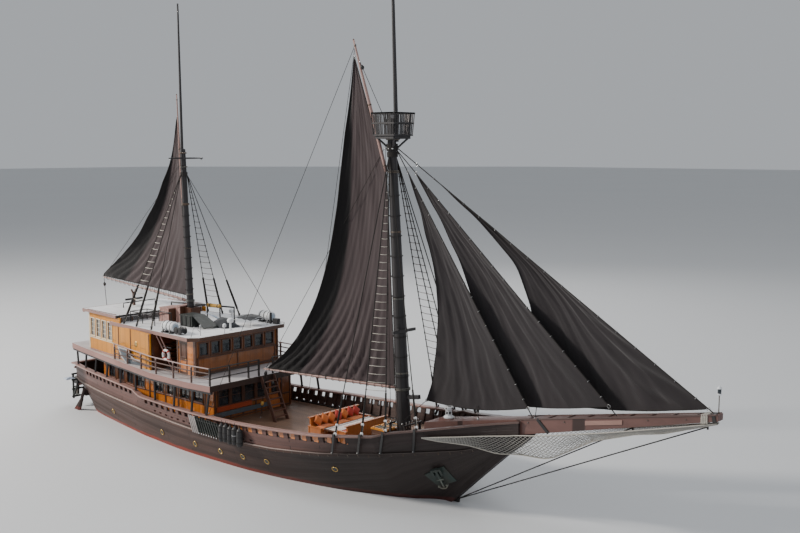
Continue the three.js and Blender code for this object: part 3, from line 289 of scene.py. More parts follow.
# wood in boards. along says which way the grain runs: x, y, z or uv
def woodMaterial(name, colour, dark, along="x", boards=None, rough=0.55, coat=0.0, seamTone=0.25,
                 tone=0.3, grime=0.35, fine=9.0, zone=None):
    material, tree, shader = newMaterial(name, rough, coat=coat)
    stretch = {"x": (0.12, 1, 1), "y": (1, 0.12, 1), "z": (1, 1, 0.12), "uv": (0.12, 1, 1)}[along]
    source = "UV" if along == "uv" else "Object"
    grain = useGroup(tree, grainGroup, place(tree, source, stretch), Fine=fine, Broad=0.7)
    body = mixColour(tree, grain.outputs["Streak"], colour,
                     tuple(0.72 * c + 0.28 * d for c, d in zip(colour, dark)))
    body = mixColour(tree, maths(tree, "MULTIPLY", grain.outputs["Patch"], 0.55), body, dark)
    height = grain.outputs["Streak"]
    if boards:
        wide, length, turn = boards
        plank = useGroup(tree, boardGroup, place(tree, source, (1, 1, 1), turn), Wide=wide, Long=length,
                         Seam=min(0.008, wide * 0.05) if along != "uv" else 0.03)
        lighter = tuple(min(1.0, 1.28 * c) for c in colour)
        body = mixColour(tree, maths(tree, "MULTIPLY", plank.outputs["Tone"], tone), body, lighter)
        body = mixColour(tree, maths(tree, "MULTIPLY", plank.outputs["Seam"], 0.85), body,
                         tuple(seamTone * c for c in dark))
        height = maths(tree, "SUBTRACT", maths(tree, "MULTIPLY", height, 0.18), plank.outputs["Seam"])
    if zone:
        body = zone(tree, body)
    dirt = useGroup(tree, grimeGroup, place(tree, "Object", (0.5, 0.5, 1.1)), Scale=1.7, Amount=grime)
    body = mixColour(tree, dirt.outputs["Mask"], body, tuple(0.45 * c for c in dark))
    tree.links.new(body, shader.inputs["Base Color"])
    roughness = mapRange(tree, grain.outputs["Patch"], 0, 1, max(0.05, rough - 0.12), min(1, rough + 0.18))
    tree.links.new(roughness, shader.inputs["Roughness"])
    addBump(tree, shader, height, 0.006)
    return material


# one coordinate of the surface, or of its normal
def axisOf(tree, axis, source="ShaderNodeTexCoord", output="Object"):
    split = tree.nodes.new("ShaderNodeSeparateXYZ")
    tree.links.new(tree.nodes.new(source).outputs[output], split.inputs[0])
    return split.outputs[axis]


# red bottom paint below the water, with a scuffed edge, and painted shade that turns the hull near black
# towards the bow and the stern
def bottomPaintAndShade(tree, body):
    wave = node(tree, "ShaderNodeTexNoise", Scale=2.5, Detail=5.0)
    tree.links.new(tree.nodes.new("ShaderNodeTexCoord").outputs["Object"], wave.inputs["Vector"])
    level = maths(tree, "ADD", axisOf(tree, "Z"), mapRange(tree, wave.outputs["Fac"], 0.3, 0.7, -0.02, 0.02))
    body = mixColour(tree, mapRange(tree, level, 0.09, 0.118), (0.27, 0.04, 0.022), body)
    body = paintedShadeAlong(tree, body, 0.6, 5.2, 0.82)
    return paintedShadeAlong(tree, body, -5.95, -6.3, 0.6)


# painted shade: the colour turns near black over a stretch of the length, towards the bow or the stern
def paintedShadeAlong(tree, body, start, end, amount):
    dark = maths(tree, "MULTIPLY", mapRange(tree, axisOf(tree, "X"), start, end), amount)
    return mixColour(tree, dark, body, (0.012, 0.0095, 0.0095))


# painted shade on the wale and bulwark: near black at the stern and towards the bow
def paintedShadeBowStern(tree, body):
    return paintedShadeAlong(tree, paintedShadeAlong(tree, body, -5.8, -6.15, 0.75), 3.9, 5.7, 0.86)


# the upper deck's floor is pale, its side boards pink and its front board black
def deckFaces(tree, body):
    up, ahead = (axisOf(tree, axis, "ShaderNodeNewGeometry", "Normal") for axis in "ZX")
    body = mixColour(tree, mapRange(tree, up, 0.6, 0.8), body, (0.5, 0.47, 0.47))
    return mixColour(tree, mapRange(tree, ahead, 0.6, 0.8), body, (0.035, 0.022, 0.018))


# painted shade: the recess between the wheelhouse and the cabin is darkened inside
def recessShade(tree, body):
    behind = maths(tree, "MULTIPLY", mapRange(tree, axisOf(tree, "X"), -1.28, -1.32),
                   mapRange(tree, axisOf(tree, "Z"), 1.98, 2.02))
    return mixColour(tree, behind, body, (0.075, 0.03, 0.018))


# grey lines run along the table's after edge
def tableStripes(tree, body):
    along = axisOf(tree, "X")
    for start, stop in ((4.0, 4.075), (4.1, 4.16), (4.455, 4.5)):
        band = maths(tree, "MULTIPLY", mapRange(tree, along, start, start + 0.002),
                     mapRange(tree, along, stop, stop - 0.002))
        body = mixColour(tree, band, body, (0.13, 0.13, 0.13))
    return body


# railings: a pale top rail along the sides, black bars in front
def railFaces(tree, body):
    body = mixColour(tree, mapRange(tree, axisOf(tree, "Z"), 2.44, 2.455), body, (0.36, 0.26, 0.24))
    return mixColour(tree, mapRange(tree, axisOf(tree, "X"), 0.96, 0.985), body, (0.022, 0.017, 0.016))


def paintMaterial(name, colour, rough=0.5, coat=0.0, metal=0.0, wear=0.3, under=None,
                  bumpScale=30.0, bump=0.0015):
    material, tree, shader = newMaterial(name, rough, metal=metal, coat=coat)
    vector = place(tree)
    cloud = useGroup(tree, grainGroup, vector, Fine=bumpScale, Broad=2.2)
    under = under or tuple(0.55 * c for c in colour)
    body = mixColour(tree, maths(tree, "MULTIPLY", cloud.outputs["Patch"], wear), colour, under)
    body = mixColour(tree, maths(tree, "MULTIPLY", cloud.outputs["Streak"], 0.14), body,
                     tuple(0.7 * c for c in colour))
    dirt = useGroup(tree, grimeGroup, place(tree, "Object", (1, 1, 0.35)), Scale=4.0, Amount=wear)
    body = mixColour(tree, dirt.outputs["Mask"], body, tuple(0.35 * c for c in under))
    tree.links.new(body, shader.inputs["Base Color"])
    tree.links.new(mapRange(tree, cloud.outputs["Patch"], 0, 1, max(0.04, rough - 0.1), min(1, rough + 0.15)),
                   shader.inputs["Roughness"])
    addBump(tree, shader, cloud.outputs["Streak"], bump, 0.5)
    return material


# woven cloth on the piece's own UV map, in metres, with panel seams
def clothMaterial(name, colour, light, panel=0.0, weave=260.0, rough=0.95, sheen=0.25, shadedLeech=None):
    material, tree, shader = newMaterial(name, rough, specular=0.2, sheen=sheen)
    vector = place(tree, "UV")
    threads = [node(tree, "ShaderNodeTexWave", bands_direction=way, Scale=weave,
                    Distortion=0.6) for way in ("X", "Y")]
    for wave in threads:
        tree.links.new(vector, wave.inputs["Vector"])
    woven = maths(tree, "MULTIPLY", threads[0].outputs["Fac"], threads[1].outputs["Fac"])
    cloud = useGroup(tree, grainGroup, place(tree, "UV", (1, 0.25, 1)), Fine=14.0, Broad=1.1)
    body = mixColour(tree, maths(tree, "MULTIPLY", cloud.outputs["Patch"], 0.5), colour, light)
    body = mixColour(tree, maths(tree, "MULTIPLY", woven, 0.25), body, light)
    height = maths(tree, "MULTIPLY", woven, 0.12)
    if panel:
        seam = useGroup(tree, boardGroup, place(tree, "UV", (1, 1, 1), (0, 0, 90)), Wide=panel,
                        Long=400.0, Seam=0.006)
        body = mixColour(tree, maths(tree, "MULTIPLY", seam.outputs["Seam"], 0.55), body,
                         tuple(0.45 * c for c in colour))
        body = mixColour(tree, maths(tree, "MULTIPLY", seam.outputs["Tone"], 0.22), body, light)
        height = maths(tree, "SUBTRACT", height, maths(tree, "MULTIPLY", seam.outputs["Seam"], 0.8))
    height = maths(tree, "ADD", height, maths(tree, "MULTIPLY", cloud.outputs["Streak"], 0.35))
    if shadedLeech:  # painted shade along the leech: a near-black band where the mesh's mark is high
        mark = node(tree, "ShaderNodeAttribute", attribute_name="shadedLeech")
        body = mixColour(tree, mapRange(tree, mark.outputs["Fac"], 0.35, 0.65), body, shadedLeech)
    tree.links.new(body, shader.inputs["Base Color"])
    tree.links.new(mapRange(tree, cloud.outputs["Patch"], 0, 1, rough - 0.1, rough),
                   shader.inputs["Roughness"])
    addBump(tree, shader, height, 0.004, 0.55)
    return material


# laid rope: twisted strands run round the line
def ropeMaterial(name, colour, dark, twist=90.0):
    material, tree, shader = newMaterial(name, 0.9, specular=0.2)
    wave = node(tree, "ShaderNodeTexWave", bands_direction="DIAGONAL", Scale=twist, Distortion=1.5)
    tree.links.new(place(tree), wave.inputs["Vector"])
    fuzz = useGroup(tree, grimeGroup, place(tree), Scale=9.0, Amount=0.6)
    body = mixColour(tree, wave.outputs["Fac"], dark, colour)
    body = mixColour(tree, fuzz.outputs["Mask"], body, dark)
    tree.links.new(body, shader.inputs["Base Color"])
    tree.links.new(mapRange(tree, wave.outputs["Fac"], 0, 1, 0.8, 0.97), shader.inputs["Roughness"])
    addBump(tree, shader, wave.outputs["Fac"], 0.003, 0.6)
    return material


def glassMaterial(name, colour, rough=0.08):
    material, tree, shader = newMaterial(name, rough, coat=0.3)
    smear = useGroup(tree, grimeGroup, place(tree), Scale=6.0, Amount=0.5)
    body = mixColour(tree, smear.outputs["Mask"], colour, tuple(0.5 * c + 0.06 for c in colour))
    tree.links.new(body, shader.inputs["Base Color"])
    tree.links.new(mapRange(tree, smear.outputs["Mask"], 0, 0.5, rough, rough + 0.2),
                   shader.inputs["Roughness"])
    shader.inputs["Transmission Weight"].default_value = 0.35
    return material


lying = (0, 0, 0)  # planks run along x, seams step along y
uprightX = (90, 0, 90)  # upright boards on a side wall
uprightY = (0, 90, 0)  # upright boards on a front wall
mats = {
    # the zones of the hull, keel, wale and bulwark paint shade towards the bow and the stern
    "hull": woodMaterial("hullPlanks", (0.082, 0.043, 0.034), (0.03, 0.018, 0.015), "uv",
                         (1.0, 6.0, lying), 0.5, seamTone=0.3, zone=bottomPaintAndShade, grime=0.5, fine=7.0),
    "keel": woodMaterial("keelTimber", (0.075, 0.036, 0.03), (0.03, 0.016, 0.014), "z", None, 0.65,
                         zone=bottomPaintAndShade),
    "wale": woodMaterial("waleTimber", (0.13, 0.066, 0.05), (0.05, 0.028, 0.022), "x", None,
                         0.55, zone=paintedShadeBowStern),
    "waleTop": woodMaterial("waleTop", (0.52, 0.42, 0.38), (0.24, 0.17, 0.15), "x", None, 0.6, zone=paintedShadeBowStern),
    "bulwark": woodMaterial("bulwarkPlanks", (0.16, 0.083, 0.07), (0.06, 0.03, 0.026), "uv",
                            (1.0, 5.0, lying), 0.52, seamTone=0.3, zone=paintedShadeBowStern),
    # the bulwarks' inner faces, stanchions and covering board are darkened near black as painted shade of the
    # deck well
    "inner": woodMaterial("innerPlanksShaded", (0.07, 0.036, 0.028), (0.03, 0.018, 0.015), "uv",
                          (1.0, 5.0, lying), 0.6),
    # the cap rail takes painted shade towards the bow
    "cap": woodMaterial("capRail", (0.38, 0.23, 0.2), (0.19, 0.1, 0.085), "x", None, 0.42, coat=0.15,
                        zone=lambda tree, body: paintedShadeAlong(tree, body, 5.0, 6.6, 0.72)),
    "deck": woodMaterial("deckPlanks", (0.235, 0.135, 0.085), (0.11, 0.06, 0.04), "x",
                         (0.07, 2.6, lying), 0.5, tone=0.35, coat=0.15),
    "upperDeck": woodMaterial("upperDeckPaint", (0.36, 0.2, 0.175), (0.2, 0.11, 0.095), "x", None, 0.5,
                              zone=deckFaces),
    "railing": woodMaterial("railingPaint", (0.13, 0.075, 0.062), (0.05, 0.028, 0.022), "x", None, 0.45,
                            zone=railFaces),
    "paleBoard": woodMaterial("paleBoard", (0.5, 0.46, 0.45), (0.3, 0.26, 0.25), "z", None, 0.6),
    "tarred": woodMaterial("tarredSlats", (0.03, 0.036, 0.032), (0.012, 0.014, 0.013), "z", None, 0.55),
    # a darker copy of the fronts' varnish for the forward-facing house fronts: painted shade
    "varnishShadedFront": woodMaterial("shadedFrontVarnish", (0.3, 0.1, 0.022), (0.13, 0.04, 0.012), "z",
                                (0.06, 3.0, uprightY), 0.3, coat=0.4, tone=0.4),
    "bowsprit": woodMaterial("bowspritPlanks", (0.16, 0.08, 0.068), (0.075, 0.036, 0.03), "x",
                             (0.09, 4.0, lying), 0.45, coat=0.15, tone=0.3),
    "trim": woodMaterial("trimTimber", (0.34, 0.2, 0.165), (0.16, 0.085, 0.07), "x",
                         (0.11, 3.0, lying), 0.5, coat=0.1),
    # the sides' varnish is darkened inside the recess as painted shade
    "varnishX": woodMaterial("varnishedSides", (0.6, 0.19, 0.03), (0.27, 0.075, 0.014), "z",
                             (0.055, 3.0, uprightX), 0.28, coat=0.55, tone=0.4, zone=recessShade),
    "varnishY": woodMaterial("varnishedFronts", (0.56, 0.2, 0.055), (0.25, 0.075, 0.022), "z",
                             (0.055, 3.0, uprightY), 0.28, coat=0.55, tone=0.4),
    "varnish": woodMaterial("varnishedTrim", (0.6, 0.2, 0.05), (0.27, 0.075, 0.02), "z", None,
                            0.25, coat=0.6),
    "yellow": woodMaterial("yellowPanels", (0.62, 0.25, 0.022), (0.42, 0.15, 0.014), "z",
                           (0.3, 1.6, uprightX), 0.45, tone=0.12, seamTone=0.55, grime=0.25, fine=5.0),
    "dark": woodMaterial("darkTimber", (0.12, 0.05, 0.028), (0.045, 0.02, 0.012), "z", None, 0.4, coat=0.25),
    "spar": woodMaterial("blackSpar", (0.03, 0.026, 0.028), (0.012, 0.011, 0.012), "z", None, 0.5,
                         coat=0.12, grime=0.2),
    "lightSpar": woodMaterial("paleSpar", (0.4, 0.25, 0.22), (0.22, 0.12, 0.1), "x", None, 0.5, coat=0.1),
    "roof": paintMaterial("roofCanvas", (0.86, 0.86, 0.87), 0.6, wear=0.3, under=(0.55, 0.55, 0.56),
                          bumpScale=60, bump=0.002),
    "white": paintMaterial("whitePaint", (0.82, 0.83, 0.84), 0.35, coat=0.3, wear=0.22),
    "table": woodMaterial("tableTop", (0.8, 0.7, 0.64), (0.56, 0.46, 0.4), "y",
                          (0.09, 4.0, (0, 0, 90)), 0.45, coat=0.2, grime=0.15, zone=tableStripes),
    "iron": paintMaterial("paintedIron", (0.1, 0.115, 0.11), 0.5, metal=0.3, wear=0.6,
                          under=(0.2, 0.09, 0.04)),
    "black": paintMaterial("blackPaint", (0.018, 0.018, 0.02), 0.45, wear=0.4, under=(0.05, 0.045, 0.042)),
    "brass": paintMaterial("brass", (0.62, 0.43, 0.16), 0.28, metal=0.9, wear=0.4,
                           under=(0.3, 0.17, 0.06), bumpScale=80),
    "steel": paintMaterial("steel", (0.5, 0.5, 0.5), 0.3, metal=0.9, wear=0.3, bumpScale=90),
    "blue": paintMaterial("paleBlue", (0.5, 0.6, 0.7), 0.45, wear=0.3),
    "pink": woodMaterial("pinkCrate", (0.5, 0.31, 0.27), (0.28, 0.15, 0.13), "z", (0.12, 1.2, uprightX),
                         0.55, grime=0.3),
    "canvas": clothMaterial("darkCanvas", (0.028, 0.03, 0.034), (0.075, 0.078, 0.085), 0.0, 180.0),
    "tarp": clothMaterial("blueTarp", (0.42, 0.5, 0.62), (0.72, 0.76, 0.82), 0.0, 180.0, rough=0.7),
    "sail": clothMaterial("sailCloth", (0.0185, 0.0155, 0.0168), (0.046, 0.039, 0.0415), 0.26,
                          220.0, sheen=0.2),
    # the mainsail and mizzen paint a near-black band of shade along the leech
    "worksail": clothMaterial("workSailCloth", (0.043, 0.031, 0.032), (0.075, 0.055, 0.057), 0.26,
                              220.0, sheen=0.2, shadedLeech=(0.009, 0.008, 0.0085)),
    "cushion": clothMaterial("orangeCushion", (0.6, 0.15, 0.035), (0.76, 0.27, 0.08), 0.0, 240.0),
    "redCushion": clothMaterial("redCushion", (0.42, 0.04, 0.03), (0.6, 0.09, 0.06), 0.0, 240.0),
    "rope": ropeMaterial("tarredRope", (0.05, 0.045, 0.042), (0.02, 0.018, 0.017)),
    "paleRope": ropeMaterial("paleRope", (0.66, 0.62, 0.55), (0.4, 0.37, 0.32)),
    "net": ropeMaterial("netCord", (0.52, 0.5, 0.46), (0.27, 0.26, 0.24), 140.0),
    "glass": glassMaterial("darkGlass", (0.03, 0.04, 0.05)),
    "cream": paintMaterial("creamPaint", (0.74, 0.62, 0.44), 0.45, coat=0.2, wear=0.25),
    "ochre": paintMaterial("ochreCanvas", (0.6, 0.34, 0.08), 0.8, wear=0.3),
    "paleGlass": glassMaterial("curtainedGlass", (0.3, 0.34, 0.38), 0.12),
    "seam": clothMaterial("cushionPiping", (0.4, 0.09, 0.03), (0.6, 0.2, 0.06), 0.0, 300.0),
    "anchorPlate": paintMaterial("anchorPlate", (0.03, 0.052, 0.048), 0.55, wear=0.5,
                                 under=(0.09, 0.06, 0.045)),
    "anchorIron": paintMaterial("anchorIron", (0.17, 0.2, 0.18), 0.5, metal=0.4, wear=0.5,
                                under=(0.2, 0.1, 0.05)),
    "redBoard": woodMaterial("redBoard", (0.42, 0.07, 0.02), (0.26, 0.04, 0.015), "y", None, 0.5),
    "slate": paintMaterial("slateBand", (0.1, 0.12, 0.14), 0.5, wear=0.35),
    "tread": woodMaterial("treads", (0.14, 0.065, 0.045), (0.06, 0.03, 0.022), "y", None, 0.5),
}
floorMat, floorTree, floorShader = newMaterial("paleFloor", 0.75, specular=0.2)
cloud = useGroup(floorTree, grainGroup, place(floorTree), Fine=2.0, Broad=0.05)
floorTree.links.new(mixColour(floorTree, maths(floorTree, "MULTIPLY", cloud.outputs["Patch"], 0.2),
                              (0.62, 0.63, 0.64), (0.56, 0.57, 0.59)), floorShader.inputs["Base Color"])
print("materials made")


# a mesh gathered from simple closed forms in full-size metres, one material slot for each name
class Shape:
    def __init__(self, *names):
        self.names, self.points, self.faces, self.looks, self.smooth = names, [], [], [], []

    def add(self, points, faces, look=0, smooth=False):
        start = len(self.points)
        self.points += [Vector(p) for p in points]
        for face in faces:
            self.faces.append([start + i for i in face])
            self.looks.append(look)
            self.smooth.append(smooth)

    def box(self, lo, hi, look=0):
        corners = [(x, y, z) for z in (lo[2], hi[2]) for y in (lo[1], hi[1]) for x in (lo[0], hi[0])]
        self.add(corners, [(0, 2, 3, 1), (4, 5, 7, 6), (0, 1, 5, 4), (2, 6, 7, 3), (0, 4, 6, 2),
                           (1, 3, 7, 5)], look)

    def bar(self, p, q, wide, thick, look=0, side=(0, 0, 1)):
        p, q = Vector(p), Vector(q)
        along = (q - p).normalized()
        across = along.cross(Vector(side))
        if across.length < 1e-4:
            across = along.cross(Vector((1, 0, 0)))
        across.normalize()
        up = across.cross(along)
        ring = [across * wide / 2 * u + up * thick / 2 * v for u, v in ((-1, -1), (1, -1), (1, 1), (-1, 1))]
        self.add([p + r for r in ring] + [q + r for r in ring],
                 [(0, 1, 2, 3), (7, 6, 5, 4), (0, 4, 5, 1), (1, 5, 6, 2), (2, 6, 7, 3), (3, 7, 4, 0)], look)

    def tube(self, points, radius, sides=8, look=0, loop=False):
        points = [Vector(p) for p in points]
        count = len(points)
        radii = radius if isinstance(radius, (list, tuple)) else [radius] * count
        rings, before = [], None
        for i, p in enumerate(points):
            a = points[i - 1] if (i or loop) else p
            b = points[(i + 1) % count] if (i < count - 1 or loop) else p
            along = (b - a).normalized()
            if before is None:
                before = along.orthogonal().normalized()
            before = (before - along * before.dot(along)).normalized()
            other = along.cross(before)
            rings += circle(p, before, other, radii[i], sides)
        faces = []
        for i in range(count if loop else count - 1):
            j = (i + 1) % count
            faces += [(i * sides + k, i * sides + (k + 1) % sides, j * sides + (k + 1) % sides, j * sides + k)
                      for k in range(sides)]
        if not loop:
            faces += [tuple(range(sides))[::-1], tuple(range((count - 1) * sides, count * sides))]
        self.add(rings, faces, look, sides > 4)

    def turned(self, foot, axis, profile, sides=16, look=0):
        foot, axis = Vector(foot), Vector(axis).normalized()
        self.tube([foot + axis * up for _, up in profile], [max(r, 0.002) for r, _ in profile], sides, look)

    def prism(self, outline, shift, look=0):
        outline, shift = [Vector(p) for p in outline], Vector(shift)
        n = len(outline)
        faces = [tuple(range(n)), tuple(range(2 * n - 1, n - 1, -1))]
        faces += [(i, i + n, (i + 1) % n + n, (i + 1) % n) for i in range(n)]
        self.add(outline + [p + shift for p in outline], faces, look)

    def loft(self, rings, look=0, smooth=False, looks=None):
        n = len(rings[0])
        points = [p for ring in rings for p in ring]
        for side in range(n):
            strip = [(r * n + side, r * n + (side + 1) % n, (r + 1) * n + (side + 1) % n, (r + 1) * n + side)
                     for r in range(len(rings) - 1)]
            if side == 0:
                first = len(self.points)
                self.add(points, strip, looks[0] if looks else look, smooth)
            else:
                for face in strip:
                    self.faces.append([first + i for i in face])
                    self.looks.append(looks[side] if looks else look)
                    self.smooth.append(smooth)
        last = (len(rings) - 1) * n
        for face in (list(range(n))[::-1], list(range(last, last + n))):
            self.faces.append([first + i for i in face])
            self.looks.append(look)
            self.smooth.append(False)

    def make(self, name, body="hull", bevel=0.0):
        mesh = bpy.data.meshes.new(name)
        mesh.from_pydata([p * half for p in self.points], [], self.faces)
        for look in self.names:
            mesh.materials.append(mats[look])
        mesh.polygons.foreach_set("material_index", self.looks)
        mesh.polygons.foreach_set("use_smooth", self.smooth)
        bm = bmesh.new()
        bm.from_mesh(mesh)
        bmesh.ops.recalc_face_normals(bm, faces=bm.faces)
        bm.to_mesh(mesh)
        bm.free()
        piece = linked(name, mesh)
        if bevel:
            soft = piece.modifiers.new("softEdges", "BEVEL")
            soft.width, soft.segments, soft.limit_method, soft.angle_limit = bevel, 2, "ANGLE", 0.7
            soft.use_clamp_overlap = True
        if body:
            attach(piece, body)
        return piece


# hull, from the same stations as the solid, drawn as one fair skin
hullColumns = ("x", "foot", "bilgeY", "bilgeZ", "waterY", "waterZ", "deckY", "deckZ", "railY",
               "railZ", "waleZ")
hullStations = [
    (-14.0, 0.05, 0.45, 0.35, 1.05, 0.80, 1.95, 1.95, 2.10, 2.92, 1.90),
    (-13.3, -1.20, 0.45, -0.60, 1.15, 0.05, 2.20, 1.97, 2.36, 2.95, 1.89),
    (-12.0, -1.95, 0.75, -1.15, 1.80, 0.00, 2.55, 2.00, 2.72, 2.98, 1.88),
    (-9.2, -2.10, 1.30, -1.30, 2.35, 0.00, 3.10, 2.00, 3.25, 2.98, 1.84),
    (-5.3, -2.20, 2.05, -1.35, 3.00, 0.00, 3.50, 1.85, 3.65, 2.82, 1.72),
    (-4.5, -2.20, 2.15, -1.35, 3.08, 0.00, 3.56, 1.80, 3.74, 2.56, 1.67),
    (-1.4, -2.25, 2.45, -1.40, 3.36, 0.00, 3.78, 1.70, 3.95, 2.54, 1.58),
    (1.4, -2.25, 2.50, -1.40, 3.40, 0.00, 3.93, 1.70, 4.10, 2.56, 1.52),
    (4.4, -2.25, 2.35, -1.35, 3.31, 0.00, 4.02, 1.72, 4.21, 2.69, 1.66),
    (6.9, -2.20, 1.95, -1.30, 3.01, 0.00, 3.95, 1.82, 4.13, 2.82, 1.77),
    (10.0, -2.05, 1.20, -1.20, 2.34, 0.00, 3.62, 2.10, 3.84, 3.01, 2.05),
    (12.9, -1.50, 0.50, -0.80, 1.29, 0.00, 2.90, 2.48, 3.15, 3.33, 2.42),
    (13.6, -1.15, 0.42, -0.60, 1.00, 0.10, 2.60, 2.94, 2.80, 3.57, 2.49),
    (14.8, -0.15, 0.30, 0.25, 0.62, 0.70, 1.98, 3.17, 2.14, 3.76, 2.62),
    (16.4, 1.35, 0.26, 1.60, 0.52, 1.95, 1.22, 3.474, 1.38, 4.07, 2.85),
    (18.0, 2.80, 0.24, 2.95, 0.36, 3.12, 0.70, 3.778, 0.84, 4.38, 3.35),
    (19.2, 3.78, 0.20, 3.82, 0.32, 3.86, 0.58, 4.006, 0.60, 4.62, 3.92),
]


# widths run on a smooth curve between the stations, heights on straight lines
def stationAt(x):
    rows = hullStations
    i = max(0, min(len(rows) - 2, sum(1 for row in rows if row[0] <= x) - 1))
    a, b = rows[i], rows[i + 1]
    t = (x - a[0]) / (b[0] - a[0])
    before, after = rows[max(i - 1, 0)], rows[min(i + 2, len(rows) - 1)]
    values = {"x": x}
    for k, name in enumerate(hullColumns[1:], 1):
        straight = lerp(a[k], b[k], t)
        if name.endswith("Y"):
            slopeA = (b[k] - before[k]) / (b[0] - before[0])
            slopeB = (after[k] - a[k]) / (after[0] - a[0])
            span, s = b[0] - a[0], t * t * (3 - 2 * t)
            curve = lerp(a[k], b[k], s) + span * (slopeA * t * (1 - t) ** 2 - slopeB * t * t * (1 - t))
            straight = lerp(straight, curve, 0.75)
        values[name] = straight
    return values


def sideAt(s, z):
    return lerp(s["waterY"], s["deckY"], (z - s["waterZ"]) / (s["deckZ"] - s["waterZ"])) + 0.05


hullForm = {"step": 0.35, "strakes": 26, "keelHalf": 0.16, "rows": 30, "waleHigh": 0.13, "waleProud": 0.06}
sternX, stemX = hullStations[0][0], hullStations[-1][0]
xs = [sternX + hullForm["step"] * i for i in range(95)] + [stemX]


def hullSection(s, rows):
    top = (sideAt(s, s["deckZ"]) - 0.05, s["deckZ"])
    knots = [(hullForm["keelHalf"], s["foot"]), (s["bilgeY"], s["bilgeZ"]), (s["waterY"] + 0.03, s["waterZ"])]
    levels = [lerp(s["waterZ"], s["deckZ"], t) for t in (0.35, 0.7)]
    knots = [Vector(k) for k in knots + [(sideAt(s, z), z) for z in levels] + [top]]
    dense = curveThrough([knots[0]] + knots + [knots[-1]], 12)
    return [alongPoints(dense, k / rows) for k in range(rows + 1)]


def buildHull():
    rows = hullForm["rows"]
    sections = [hullSection(stationAt(x), rows) for x in xs]
    verts, faces, uvs = [], [], []
    for side in (-1, 1):
        start = len(verts)
        for x, section in zip(xs, sections):
            verts += [(x, side * p.x, p.y) for p in section]
        for i in range(len(xs) - 1):
            for k in range(rows):
                a = start + i * (rows + 1) + k
                faces.append((a, a + 1, a + rows + 2, a + rows + 1))
                uvs.append([(xs[i + di], (k + dk) * hullForm["strakes"] / rows)
                            for di, dk in ((0, 0), (0, 1), (1, 1), (1, 0))])
    count = len(xs) * (rows + 1)
    for i in range(len(xs) - 1):  # the strip along the keel and the top under the deck
        for k in (0, rows):
            a, b = i * (rows + 1) + k, (i + 1) * (rows + 1) + k
            faces.append((a, b, b + count, a + count))
            uvs.append([(xs[i], 0.1), (xs[i + 1], 0.1), (xs[i + 1], 0.9), (xs[i], 0.9)])
    for i in (0, len(xs) - 1):  # flat transom, and the narrow face at the stem
        for k in range(rows):
            a = i * (rows + 1) + k
            faces.append((a, a + 1, a + 1 + count, a + count))
            uvs.append([(verts[v][1], verts[v][2] * 3.4) for v in faces[-1]])
    mesh = bpy.data.meshes.new("hullSkin")
    mesh.from_pydata([Vector(v) * half for v in verts], [], faces)
    layer = mesh.uv_layers.new(name="UVMap")
    for face, corners in zip(mesh.polygons, uvs):
        for loop, uv in zip(face.loop_indices, corners):
            layer.data[loop].uv = uv
    mesh.materials.append(mats["hull"])
    bm = bmesh.new()
    bm.from_mesh(mesh)
    bmesh.ops.remove_doubles(bm, verts=bm.verts, dist=1e-5)
    bmesh.ops.recalc_face_normals(bm, faces=bm.faces)
    for face in bm.faces:
        face.smooth = True
    for edge in bm.edges:
        edge.smooth = edge.calc_face_angle(0) < 0.6
    bm.to_mesh(mesh)
    bm.free()
    skin = linked("hullSkin", mesh)
    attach(skin, "hull")
    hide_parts("hull")


buildHull()


# a band that follows the hull's side between two heights, as a closed strip
def sideBand(shape, x0, x1, low, high, outer, inner, side, looks):
    count = max(1, round((x1 - x0) / hullForm["step"]))
    rings = []
    for i in range(count + 1):
        s = stationAt(lerp(x0, x1, i / count))
        zLow, zHigh = low(s), high(s)
        rings.append([(s["x"], side * face(s, z), z) for face, z in
                      ((outer, zLow), (outer, zHigh), (inner, zHigh), (inner, zLow))])
    shape.loft(rings, looks[0], False, looks)


bulwarkForm = {
    "thick": 0.12, "capWide": 0.34, "capThick": 0.09, "portHigh": 0.27, "drop": 0.03,
    # from, to, long, step
    "ports": [(-11.6, -5.7, 0.3, 0.52), (-4.15, 3.0, 0.3, 0.575), (3.7, 11.1, 0.46, 0.73)],
    "scuppers": [(-3.3, 5.4, 0.22, 0.575)], "scupperLow": 0.09, "scupperHigh": 0.19,
    "stanchions": (-13.4, 0.7, 46), "stanchionsEnd": 18.2,  # first, step and count
}


def railSide(s, z):
    return lerp(s["deckY"], s["railY"], (z - s["deckZ"]) / (s["railZ"] - s["deckZ"]))


def openingsOf(runs):
    edges = []
    for start, stop, long, step in runs:
        while start < stop:
            edges.append((start, start + long))
            start += step
    return edges


